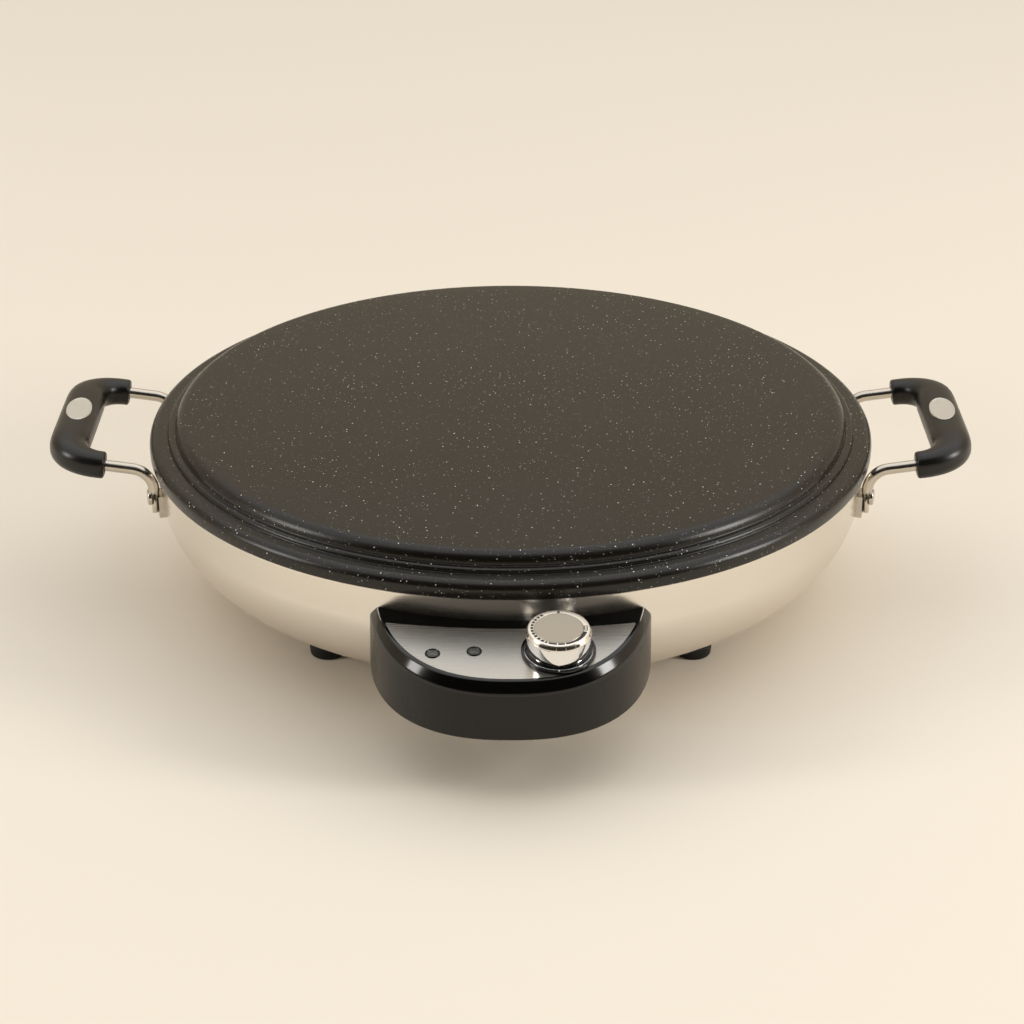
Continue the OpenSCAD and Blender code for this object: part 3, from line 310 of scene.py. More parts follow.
def slab(name: str, outline: Sequence[Point], low: float, high: float) -> bpy.types.Object:
    """Fills an outline and extrudes it upwards.

    Args:
        name: the piece's name.
        outline: (x, y) points in millimetres.
        low: height of the underside.
        high: height of the top.

    Returns:
        The upright prism.
    """
    block = draw_line(name, [mm(x, y, low) for x, y in outline], closed=True)
    with editing(block):
        bpy.ops.mesh.edge_face_add()
        push_out(mm(0, 0, high - low))
    face_outwards(block)
    return block


def slice_off(piece: bpy.types.Object, point: Vector, normal: Vector) -> None:
    """Cuts off what lies on the normal's side of a plane, and closes the cut."""
    with editing(piece):
        bpy.ops.mesh.bisect(plane_co=point, plane_no=normal, use_fill=True, clear_outer=True)


def round_edges(piece: bpy.types.Object, wanted: Test, size: float, segments: int) -> None:
    """Rounds the edges that pass a test.

    Args:
        piece: the piece.
        wanted: the test, given an edge.
        size: how far the rounding reaches to each side, in millimetres.
        segments: facets across the rounding.
    """
    with editing(piece, all_selected=False):
        if pick(piece, Part.EDGES, wanted):
            bpy.ops.mesh.bevel(offset=size * MM, segments=segments, affect="EDGES", clamp_overlap=True)


def apply(piece: bpy.types.Object, modifier: bpy.types.Modifier) -> None:
    """Applies a modifier of a piece."""
    activate(piece)
    bpy.ops.object.modifier_apply(modifier=modifier.name)


def cut_away(piece: bpy.types.Object, cutter: bpy.types.Object) -> None:
    """Takes one shape out of another and throws the cutter away.

    Args:
        piece: the piece that is cut.
        cutter: the shape that is taken out of it.
    """
    knife = piece.modifiers.new("cut", "BOOLEAN")
    knife.operation, knife.object, knife.solver = "DIFFERENCE", cutter, "EXACT"
    apply(piece, knife)
    bpy.data.objects.remove(cutter)


def joined(name: str, parts: Sequence[bpy.types.Object]) -> bpy.types.Object:
    """Joins several meshes into one piece.

    Args:
        name: the piece's name.
        parts: the meshes.

    Returns:
        The piece.
    """
    activate(parts[0])
    for part in parts:
        part.select_set(True)
    bpy.ops.object.join()
    parts[0].name = name
    return parts[0]


def copied(piece: bpy.types.Object, name: str, place: Matrix) -> bpy.types.Object:
    """Copies a piece, with its own mesh, to another place.

    Args:
        piece: the piece.
        name: the copy's name.
        place: how the copy is moved from the piece.

    Returns:
        The copy.
    """
    activate(piece)
    bpy.ops.object.duplicate(linked=False)
    bpy.context.object.name = name
    return settle(bpy.context.object, place)


def mirrored(piece: bpy.types.Object, name: str) -> bpy.types.Object:
    """Copies a piece for the appliance's other side.

    Args:
        piece: the piece on the right.
        name: the copy's name.

    Returns:
        The copy on the left.
    """
    twin = copied(piece, name, Matrix.Scale(-1, 4, (1, 0, 0)))
    face_outwards(twin)
    return twin


def mounted(piece: bpy.types.Object, body: str, slot: str, *nodes: str) -> bpy.types.Object:
    """Fixes a finished piece to a body, in place of the CAD nodes that it stands for.

    Args:
        piece: the finished piece.
        body: the CAD body that it moves with.
        slot: the record's name of its finish; not used.
        nodes: the CAD nodes that it replaces, if any.

    Returns:
        The same piece.
    """
    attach(piece, body)
    if nodes:
        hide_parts(*nodes)
    LOG.info("%s: %d faces, on %s", piece.name, len(piece.data.polygons), body)
    return piece


# ---------------------------------------------------------------- finishes


def toned(colour: Colour, factor: float) -> Colour:
    """A colour made lighter or darker by a factor."""
    return tuple(min(1.0, part * factor) for part in colour)


class Graph:
    """The shader nodes of one material, added and joined by short calls."""

    def __init__(self, name: str, air: bool = False) -> None:
        """Starts a material with its principled shader, or the studio's air with its background.

        Args:
            name: the material's name.
            air: whether it is the studio's air.
        """
        self.material = (bpy.data.worlds if air else bpy.data.materials).new(name)
        self.material.use_nodes = True
        self.tree = self.material.node_tree
        self.shader = self.tree.nodes["Background" if air else "Principled BSDF"]
        self.spot = self.node("ShaderNodeTexCoord").outputs["Generated" if air else "Object"]

    def node(self, kind: str, inputs: dict[Any, Any] | None = None, **settings: Any) -> bpy.types.Node:
        """Adds a node.

        Args:
            kind: the node's type.
            inputs: values or sockets by the name or number of the input.
            settings: the node's own properties.

        Returns:
            The node.
        """
        made = self.tree.nodes.new(kind)
        for name, value in settings.items():
            setattr(made, name, value)
        for key, value in (inputs or {}).items():
            self.feed(made.inputs[key], value)
        return made

    def feed(self, socket: bpy.types.NodeSocket, value: Any) -> None:
        """Joins a socket to another, or sets its value.

        Args:
            socket: the input.
            value: another node's output, or a value; a colour of three numbers is made opaque.
        """
        if isinstance(value, bpy.types.NodeSocket):
            self.tree.links.new(value, socket)
        elif socket.type == "RGBA" and len(value) == 3:
            socket.default_value = (*value, 1.0)
        else:
            socket.default_value = value

    def math(self, operation: str, a: Any, b: Any = 0.0, c: Any = 0.0,
             clamp: bool = False) -> bpy.types.NodeSocket:
        """One sum, product or other operation on numbers."""
        terms = {0: a, 1: b, 2: c}
        return self.node("ShaderNodeMath", terms, operation=operation, use_clamp=clamp).outputs[0]

    def times(self, a: Any, b: Any) -> bpy.types.NodeSocket:
        """A product."""
        return self.math("MULTIPLY", a, b)

    def spread(self, value: Any, low: float, high: float, to_low: float = 0.0,
               to_high: float = 1.0) -> bpy.types.NodeSocket:
        """Maps a value smoothly from one range to another, held at its ends."""
        ends = {"Value": value, "From Min": low, "From Max": high, "To Min": to_low, "To Max": to_high}
        return self.node("ShaderNodeMapRange", ends, interpolation_type="SMOOTHSTEP").outputs[0]

    def blend(self, share: Any, a: Any, b: Any) -> bpy.types.NodeSocket:
        """A colour between two others."""
        return self.node("ShaderNodeMix", {0: share, 6: a, 7: b}, data_type="RGBA").outputs[2]

    def noise(self, vector: Any, scale: float, detail: float = 2.0,
              roughness: float = 0.5) -> bpy.types.NodeSocket:
        """Soft noise, from 0 to 1."""
        ends = {"Vector": vector, "Scale": scale, "Detail": detail, "Roughness": roughness}
        return self.node("ShaderNodeTexNoise", ends).outputs[0]

    def axes(self, vector: Any) -> list[bpy.types.NodeSocket]:
        """A vector's three numbers."""
        return list(self.node("ShaderNodeSeparateXYZ", {0: vector}).outputs)

    def bump(self, height: Any, depth: float, strength: float) -> None:
        """Gives the shader a relief of the given depth, in millimetres."""
        ends = {"Height": height, "Distance": depth * MM, "Strength": strength}
        self.feed(self.shader.inputs["Normal"], self.node("ShaderNodeBump", ends).outputs[0])

    def shade(self, **values: Any) -> bpy.types.Material:
        """Feeds the shader's own sockets.

        Args:
            values: values or sockets by the input's name, with _ for a space.

        Returns:
            The material.
        """
        for name, value in values.items():
            self.feed(self.shader.inputs[name.replace("_", " ")], value)
        return self.material


@dataclass(frozen=True)
class Coating:
    """Speckled non-stick coating: near black, with pale flecks of three sizes.

    The cells are counted to the metre, each with one fleck whose largest radius is a share of it.
    """

    dark: Colour = (0.0045, 0.0034, 0.0022)
    light: Colour = (0.0090, 0.0068, 0.0044)
    fleck: Colour = (0.94, 0.93, 0.88)
    cells: Triple = (380.0, 720.0, 1350.0)
    sizes: Triple = (0.14, 0.125, 0.14)
    shares: Triple = (1.0, 0.75, 0.10)
    smallest: float = 0.5
    soft_edge: float = 0.2
    faintest: float = 0.3
    cloud: float = 14.0
    grain: float = 1300.0
    relief: float = 0.07
    rough: Point = (0.25, 0.30)
    ior: float = 1.45

    def flecks(self, graph: Graph, cell: float, size: float) -> bpy.types.NodeSocket:
        """A layer of flecks.

        Args:
            graph: the material's nodes.
            cell: cells to the metre, each holding one fleck.
            size: a fleck's largest radius, as a share of its cell.

        Returns:
            How strongly a fleck shows.
        """
        cells = graph.node("ShaderNodeTexVoronoi", {"Vector": graph.spot, "Scale": cell, "Randomness": 1.0})
        chance = graph.axes(cells.outputs["Color"])
        radius = graph.spread(chance[0], 0.0, 1.0, self.smallest * size, size)
        near = graph.math("SUBTRACT", radius, cells.outputs["Distance"])
        shown = graph.math("MULTIPLY", near, 1.0 / (self.soft_edge * size), clamp=True)
        return graph.times(shown, graph.spread(chance[1], 0.0, 1.0, self.faintest, 1.0))

    def material(self) -> bpy.types.Material:
        """Builds the material.

        Returns:
            The material.
        """
        graph = Graph("coated_plate")
        shown: Any = 0.0
        for cell, size, share in zip(self.cells, self.sizes, self.shares):
            layer = graph.times(self.flecks(graph, cell, size), share)
            shown = graph.math("MAXIMUM", shown, layer)
        cloud = graph.noise(graph.spot, self.cloud, 3.0)
        ground = graph.blend(cloud, self.dark, self.light)
        graph.bump(graph.noise(graph.spot, self.grain, 3.0, 0.7), self.relief, 0.5)
        rough = graph.spread(cloud, *MIDDLE, *self.rough)
        return graph.shade(Base_Color=graph.blend(shown, ground, self.fleck), Roughness=rough, IOR=self.ior)


class Grain(Enum):
    """How a steel surface is brushed."""

    ROUND_AXIS = "round the plate's axis"
    ACROSS = "from side to side"
    NONE = "polished"


@dataclass(frozen=True)
class Steel:
    """Stainless steel or another metal, brushed one way or polished."""

    name: str
    tone: Colour = (0.64, 0.60, 0.54)
    rough: Point = (0.28, 0.40)
    grain: Grain = Grain.NONE
    lines: float = 1500.0
    relief: float = 0.012
    uneven: float = 0.12
    drawn_out: float = 0.0
    lines_along: float = 14.0
    lines_round: float = 9.0
    pores: float = 900.0
    patches: float = 11.0

    def streaks(self, graph: Graph) -> bpy.types.NodeSocket:
        """The surface's fine relief, drawn out along the grain where it is brushed.

        Args:
            graph: the material's nodes.

        Returns:
            The relief's height, from 0 to 1.
        """
        if self.grain is Grain.NONE:
            return graph.noise(graph.spot, self.pores, 2.0)
        if self.grain is Grain.ACROSS:
            drawn = {0: graph.spot, 3: (self.lines_along, self.lines, self.lines)}
            place = graph.node("ShaderNodeMapping", drawn)
        else:
            centred = {0: graph.spot, 1: PLATE_AXIS}
            x, y, z = graph.axes(graph.node("ShaderNodeMapping", centred, vector_type="TEXTURE").outputs[0])
            radius = graph.math("SQRT", graph.math("ADD", graph.times(x, x), graph.times(y, y)))
            place = graph.node("ShaderNodeCombineXYZ", {
                0: graph.times(x, self.lines_round), 1: graph.times(y, self.lines_round),
                2: graph.times(graph.math("ADD", radius, z), self.lines)})
        return graph.noise(place.outputs[0], 1.0, 3.0, 0.65)

    def material(self) -> bpy.types.Material:
        """Builds the material.

        Returns:
            The material.
        """
        graph = Graph(self.name)
        if self.drawn_out:
            axis, turn = ("Z", 0.25) if self.grain is Grain.ROUND_AXIS else ("X", 0.0)
            tangent = graph.node("ShaderNodeTangent", direction_type="RADIAL", axis=axis).outputs[0]
            graph.shade(Anisotropic=self.drawn_out, Anisotropic_Rotation=turn, Tangent=tangent)
        streaks = self.streaks(graph)
        graph.bump(streaks, self.relief, 0.5)
        patches = graph.noise(graph.spot, self.patches, 2.0)
        worn = graph.math("ADD", graph.times(streaks, 0.7), graph.times(patches, 0.3))
        tone = graph.blend(graph.spread(worn, *MIDDLE), toned(self.tone, 1.0 - self.uneven), self.tone)
        return graph.shade(Base_Color=tone, Metallic=1.0, Roughness=graph.spread(worn, *MIDDLE, *self.rough))


@dataclass(frozen=True)
class Plastic:
    """Moulded plastic, lacquer or rubber with a fine surface."""

    name: str
    tone: Colour
    rough: Point = (0.40, 0.50)
    grain: float = 1400.0
    relief: float = 0.02
    ior: float = 1.5
    cloud: float = 30.0
    lighter: float = 1.3

    def material(self) -> bpy.types.Material:
        """Builds the material.

        Returns:
            The material.
        """
        graph = Graph(self.name)
        cloud = graph.noise(graph.spot, self.cloud, 3.0)
        graph.bump(graph.noise(graph.spot, self.grain, 2.0), self.relief, 0.6)
        return graph.shade(Base_Color=graph.blend(cloud, self.tone, toned(self.tone, self.lighter)),
                           Roughness=graph.spread(cloud, *MIDDLE, *self.rough), IOR=self.ior)


@dataclass(frozen=True)
class Glass:
    """Tinted translucent plastic of a lamp's lens."""

    name: str
    tone: Colour = (0.30, 0.30, 0.29)
    rough: Point = (0.22, 0.34)
    ior: float = 1.45
    cloud: float = 700.0
    deeper: float = 0.6

    def material(self) -> bpy.types.Material:
        """Builds the material.

        Returns:
            The material.
        """
        graph = Graph(self.name)
        cloud = graph.noise(graph.spot, self.cloud, 2.0)
        return graph.shade(Base_Color=graph.blend(cloud, toned(self.tone, self.deeper), self.tone),
                           Roughness=graph.spread(cloud, *MIDDLE, *self.rough), IOR=self.ior)


class Wardrobe:
    """Every finish of the appliance by its name, made once."""

    def __init__(self) -> None:
        """Builds the materials."""
        finishes = [
            Steel("element_sheath", (0.20, 0.19, 0.17), (0.45, 0.6)),
            Steel("zinc_steel", (0.62, 0.61, 0.58), (0.30, 0.45)),
            Steel("shield_aluminium", (0.72, 0.72, 0.70), (0.35, 0.5)),
            Steel("copper", (0.72, 0.40, 0.24), (0.3, 0.45)),
            Plastic("ceramic", (0.70, 0.68, 0.62), (0.5, 0.6)),
            Steel("brushed_bowl", (0.84, 0.79, 0.72), (0.22, 0.27), Grain.ROUND_AXIS,
                  lines=3200.0, relief=0.002, uneven=0.05, drawn_out=0.3),
            Plastic("foot_rubber", (0.006, 0.006, 0.0055), (0.6, 0.75), 900.0, 0.05),
            Steel("brass", (0.74, 0.58, 0.30), (0.3, 0.45)),
            Plastic("lead_sleeve", (0.62, 0.58, 0.50), (0.6, 0.75)),
            Plastic("satin_black", (0.0042, 0.0034, 0.0022), (0.24, 0.30), 1800.0, 0.006, 1.41),
            Plastic("gloss_black", (0.0018, 0.0018, 0.0017), (0.12, 0.16), 300.0, 0.002),
            Plastic("printed_black", (0.016, 0.011, 0.007), (0.45, 0.55), 1500.0, 0.004),
            Plastic("printed_white", (0.62, 0.61, 0.58), (0.45, 0.55), 1500.0, 0.004),
            Steel("fascia_steel", (0.69, 0.665, 0.615), (0.27, 0.285), Grain.ACROSS,
                  lines=3800.0, relief=0.0008, uneven=0.025, drawn_out=0.75),
            Steel("chrome", (0.84, 0.84, 0.835), (0.05, 0.08), relief=0.0005, uneven=0.02),
            Steel("satin_cap", (0.42, 0.375, 0.305), (0.30, 0.36), relief=0.003, uneven=0.04),
            Steel("satin_rim", (0.80, 0.75, 0.68), (0.26, 0.32), relief=0.002, uneven=0.03),
            Steel("lamp_ring", (0.035, 0.034, 0.032), (0.25, 0.32)),
            Glass("lamp_lens", (0.105, 0.103, 0.098)),
            Glass("neon_glass", (0.7, 0.5, 0.4)),
            Steel("handle_steel", (0.60, 0.55, 0.48), (0.20, 0.27), relief=0.002, uneven=0.05),
            Plastic("grip_black", (0.0040, 0.0034, 0.0026), (0.30, 0.36), 1600.0, 0.010, 1.47),
            Steel("badge_metal", (0.76, 0.745, 0.715), (0.34, 0.42), relief=0.003, uneven=0.04),
        ]
        self.materials = {f.name: f.material() for f in finishes}
        self.materials["coated_plate"] = Coating().material()

    def wear(self, piece: bpy.types.Object, finish: str) -> bpy.types.Object:
        """Gives a whole piece one finish.

        Args:
            piece: the piece.
            finish: the finish's name.

        Returns:
            The same piece.
        """
        piece.data.materials.clear()
        piece.data.materials.append(self.materials[finish])
        return piece

    def wear_two(self, piece: bpy.types.Object, finish: str, other: str,
                 where: Test) -> bpy.types.Object:
        """Gives a piece one finish, and another one to some of its faces.

        Args:
            piece: the piece.
            finish: the first finish's name.
            other: the other finish's name.
            where: the test that the other's faces pass.

        Returns:
            The same piece.
        """
        self.wear(piece, finish)
        piece.data.materials.append(self.materials[other])
        for face in piece.data.polygons:
            face.material_index = int(where(face))
        return piece

    def dress_frame(self) -> None:
        """Gives every CAD node the finish that the record names for it."""
        slots = {part["node"]: part["material_slot"] for part in frame["record"].get("subparts", [])}
        for node, piece in frame["nodes"].items():
            self.wear(piece, slots.get(node, "zinc_steel"))


# ---------------------------------------------------------------- sub-assemblies


@dataclass
class BakingPlate:
    """The cast plate: a raised disc, a narrow step round its foot and a rounded rim."""

    rim_radius: float = 190.0
    disc_radius: float = 176.5
    step_radius: float = 180.4
    foot: float = 81.3
    top: float = 98.6
    step: float = 92.4
    ring: float = 89.9
    disc_round: float = 6.0
    step_round: float = 1.8
    rim_round: float = 4.4
    fillet: float = 0.6
    disc_thickness: float = 6.0
    ring_thickness: float = 4.0
    rim_wall: float = 6.0
    pocket: float = 7.0
    pocket_slope: float = 2.0
    steps: int = 256

    def hollow(self, edge: float, low: float) -> list[Point]:
        """The small hollow rounding at the foot of an upright edge."""
        return arc((edge + self.fillet, low + self.fillet), self.fillet, 185, 270, 5)

    def profile(self) -> list[Point]:
        """The section of the plate, from the axis outwards over the top and back underneath.

        Returns:
            Its points.
        """
        rim, wall = self.rim_radius, self.rim_radius - self.rim_wall
        pocket, under = self.disc_radius - self.pocket, self.top - self.disc_thickness
        return [
            *((radius, self.top) for radius in (0, 60, 120, 160)),
            *brow(self.disc_radius, self.top, self.disc_round, 5, 16),
            *self.hollow(self.disc_radius, self.step),
            *brow(self.step_radius, self.step, self.step_round, 5, 10),
            *self.hollow(self.step_radius, self.ring),
            *brow(rim, self.ring, self.rim_round, 0, 14),
            (rim, self.foot + 0.9), (rim - 0.25, self.foot + 0.3), (rim - 0.8, self.foot),
            (wall, self.foot), (wall, self.ring - self.ring_thickness),
            (pocket, self.ring - self.ring_thickness), (pocket - self.pocket_slope, under), (0, under),
        ]

    def build(self, wardrobe: Wardrobe) -> bpy.types.Object:
        """Turns the plate and coats it.

        Args:
            wardrobe: the appliance's finishes.

        Returns:
            The piece.
        """
        plate = turned("plate_cast", self.profile(), ON_AXIS, self.steps, closed=False)
        return mounted(wardrobe.wear(plate, "coated_plate"), "base", "coated_plate", "baking_plate")


@dataclass
class Bowl:
    """The spun steel bowl, drawn in to a neck under its rolled edge."""

    bottom: float = 17.5
    flat_radius: float = 138.0
    corner: float = 48.0
    corner_steps: int = 24
    neck_radius: float = 188.2
    hem_radius: float = 189.6
    rim: float = 81.3
    hem: float = 2.8
    sheet: float = 1.0
    opening: float = 84.0
    steps: int = 256

    @property
    def corner_centre(self) -> Point:
        """Where the large corner between the flat bottom and the wall has its centre."""
        return self.flat_radius, self.bottom + self.corner

    def outside(self, gap: float = 0.0) -> list[Point]:
        """The outer face from the flat bottom to the rolled edge.

        Args:
            gap: how far it is moved outwards.

        Returns:
            Its points.
        """
        neck, hem = self.neck_radius, self.hem_radius
        rolled = [(neck - 0.1, self.hem), (neck + 0.05, 0.8), (hem - 1.0, 0.55), (hem - 0.8, 0.3),
                  (hem - 0.8, 0.0)]
        return [
            *arc(self.corner_centre, self.corner + gap, -90, 0, self.corner_steps),
            *((radius + gap, self.rim - drop) for radius, drop in rolled),
        ]

    def profile(self) -> list[Point]:
        """The closed section of the sheet.

        Returns:
            Its points.
        """
        inner = self.sheet
        return [
            (self.opening, self.bottom), *self.outside(),
            (self.hem_radius - inner - 0.9, self.rim), (self.neck_radius - inner, self.rim - self.hem),
            *arc(self.corner_centre, self.corner - inner, 0, -90, self.corner_steps),
            (self.opening, self.bottom + inner),
        ]

    def filled(self, gap: float = 0.1) -> bpy.types.Object:
        """Everything within the bowl's outer face, to fit what stands against it.

        Args:
            gap: how far it stands out from the face.

        Returns:
            The former, as a cutter.
        """
        top = self.rim + 2
        section = [(0, self.bottom - gap), *self.outside(gap), (self.hem_radius + gap, top), (0, top)]
        return turned("bowl_former", section, ON_AXIS, self.steps, closed=False)

    def build(self, wardrobe: Wardrobe) -> bpy.types.Object:
        """Turns the bowl and brushes it.

        Args:
            wardrobe: the appliance's finishes.

        Returns:
            The piece.
        """
        bowl = turned("bowl_shell", self.profile(), ON_AXIS, self.steps)
        return mounted(wardrobe.wear(bowl, "brushed_bowl"), "base", "brushed_bowl", "base_bowl")


@dataclass
class Panel:
    """The sloping top of the control box, on which the controls stand."""

    front: float = -231.0
    height: float = 63.336
    tilt: float = 7.5

    @property
    def normal(self) -> Vector:
        """The direction in which the panel faces."""
        tilt = math.radians(self.tilt)
        return Vector((0, -math.sin(tilt), math.cos(tilt)))

    @property
    def edge(self) -> Vector:
        """The middle of the panel's front edge."""
        return PLATE_AXIS + mm(0, self.front, self.height)

    def above(self, height: float) -> Vector:
        """A point at a height over the panel's front edge, in millimetres."""
        return self.edge + self.normal * height * MM

    def height_of(self, point: Vector) -> float:
        """How far a point is over the panel's surface, in metres."""
        return (point - self.edge).dot(self.normal)

    def at(self, x: float, y: float) -> Matrix:
        """A place on the panel, with +Z along its normal.

        Args:
            x: distance to the side.
            y: distance from the plate's axis.

        Returns:
            The place.
        """
        tilt = math.radians(self.tilt)
        level = self.height + (y - self.front) * math.tan(tilt)
        return Matrix.Translation(PLATE_AXIS + mm(x, y, level)) @ Matrix.Rotation(tilt, 4, "X")


@dataclass
class ControlBox:
    """The half-moon housing with its bottom cover and the steel fascia."""

    panel: Panel = field(default_factory=Panel)
    half_width: float = 67.7
    front: float = -235.5
    middle: float = -151.5
    bottom: float = 33.0
    blank_top: float = 95.0
    fullness: float = 2.4
    outline_steps: int = 72
    bevel_drop: float = 5.1
    bevel_front: float = 3.5
    bevel_round: float = 1.6
    border_round: float = 0.7
    cover_thickness: float = 1.8
    cover_inset: float = 0.4
    cover_round: float = 1.0
    fascia_side: float = 5.0
    fascia_front: float = 4.5
    fascia_depth: float = 37.9
    fascia_back_radius: float = 350.0
    fascia_corner: float = 3.2
    fascia_sheet: float = 1.0
    fascia_round: float = 0.22
    recess_gap: float = 0.25
    recess_depth: float = 0.2

    def plan(self, side: float = 0.0, front: float = 0.0) -> list[Point]:
        """The half-moon outline, drawn in at the sides and the front.

        Args:
            side: how far it stands in at each side.
            front: how far it stands in at the front.

        Returns:
            The outline, open towards +Y.
        """
        power = 2 / self.fullness
        width, depth = self.half_width - side, self.middle - self.front - front
        points = []
        for i in range(self.outline_steps + 1):
            turn = math.pi * i / self.outline_steps
            c, s = math.cos(turn), math.sin(turn)
            points.append((width * math.copysign(abs(c) ** power, c), self.middle - depth * abs(s) ** power))
        return points

    def body(self, bowl: Bowl) -> bpy.types.Object:
        """The closed form of the box, with its bevel and roundings, fitted against the bowl.

        Args:
            bowl: what it stands against.

        Returns:
            The form.
        """
        low, panel = self.bottom + self.cover_thickness, self.panel
        box = settle(slab("control_shell", self.plan(), low, self.blank_top), ON_AXIS)
        slice_off(box, panel.above(-self.bevel_drop), panel.normal)
        with editing(box, all_selected=False):
            pick(box, Part.FACES, lambda face: face.normal.dot(panel.normal) > 0.999)
            bpy.ops.mesh.inset(thickness=self.bevel_front * MM, depth=self.bevel_drop * MM)
        for drop, size, segments in ((self.bevel_drop, self.bevel_round, 6), (0.0, self.border_round, 4)):
            round_edges(box, lambda edge: edge_turn(edge) > 25 and abs(
                panel.height_of(edge_middle(edge)) + drop * MM) < ON_PLANE, size, segments)
        cut_away(box, bowl.filled())
        return box

    def fascia_blank(self, name: str, gap: float) -> bpy.types.Object:
        """An upright block in the fascia's outline.

        The outline is the half-moon's front part with a hollow arc for its back edge, and its two
        back corners are rounded.

        Args:
            name: the piece's name.
            gap: how much wider it is on every side.

        Returns:
            The block.
        """
        blank = slab(name, self.plan(self.fascia_side - gap, self.fascia_front - gap), 40.0, 90.0)
        centre = self.panel.front + self.fascia_depth + gap + self.fascia_back_radius
        cut_away(blank, begin("fascia_back", bpy.ops.mesh.primitive_cylinder_add, vertices=720,
                              radius=self.fascia_back_radius * MM, depth=0.2, location=mm(0, centre, 65)))
        round_edges(blank, lambda edge: edge_turn(edge) > 40 and is_upright(edge),
                    self.fascia_corner + gap, 6)
        return settle(blank, ON_AXIS)

    def sheet(self, name: str, low: float, high: float, gap: float) -> bpy.types.Object:
        """A sheet in the fascia's outline, along the panel's surface.

        Args:
            name: the piece's name.
            low: height of its underside over the surface.
            high: height of its top.
            gap: how much wider it is on every side.

        Returns:
            The sheet.
        """
        tall = self.fascia_blank(name, gap)
        slice_off(tall, self.panel.above(high), self.panel.normal)
        slice_off(tall, self.panel.above(low), -self.panel.normal)
        return tall

    def cover(self, bowl: Bowl) -> bpy.types.Object:
        """The bottom cover, rounded along its lower edge.

        Args:
            bowl: what it stands against.

        Returns:
            The cover.
        """
        outline = self.plan(self.cover_inset, self.cover_inset)
        cover = slab("control_cover_moulding", outline, self.bottom, self.bottom + self.cover_thickness)
        settle(cover, ON_AXIS)
        low, back = self.bottom * MM + WELD, PLATE_AXIS.y + self.middle * MM - 1e-4
        round_edges(cover, lambda edge: edge_turn(edge) > 60 and edge_middle(edge).z < low
                    and edge_middle(edge).y < back, self.cover_round, 4)
        cut_away(cover, bowl.filled())
        return smooth(cover)

    def build(self, wardrobe: Wardrobe, bowl: Bowl) -> list[bpy.types.Object]:
        """Builds the housing, its bottom cover and the fascia.

        The housing's bevel and border are lacquered; its upright walls are satin.

        Args:
            wardrobe: the appliance's finishes.
            bowl: what the box stands against.

        Returns:
            The three pieces.
        """
        shell = self.body(bowl)
        depth = self.fascia_sheet
        cut_away(shell, self.sheet("fascia_recess", -depth - self.recess_depth, 5.0, self.recess_gap))
        wardrobe.wear_two(shell, "gloss_black", "satin_black", lambda face: face.normal.z < 0.12)
        cover = wardrobe.wear(self.cover(bowl), "satin_black")
        plate = self.sheet("fascia_plate", -depth, 0.0, 0.0)
        round_edges(plate, lambda edge: edge_turn(edge) > 60, self.fascia_round, 2)
        wardrobe.wear(smooth(plate), "fascia_steel")
        return [
            mounted(smooth(shell), "base", "gloss_black", "control_housing"),
            mounted(cover, "base", "satin_black", "control_cover"),
            mounted(plate, "base", "fascia_steel", "control_fascia"),
        ]


class Tip(Enum):
    """Which end of a printed mark comes to a point."""

    NONE = "neither"
    START = "its start"
    END = "its end"


@dataclass(frozen=True)
class Mark:
    """A printed mark on the knob, in degrees clockwise from the front, seen from above.

    On the knob's top it is so deep from its inner to its outer edge, and its middle lies at the
    dial's radius or at its own.
    """

    start: float
    end: float
    deep: float = 0.0
    middle: float = 0.0
    tip: Tip = Tip.NONE


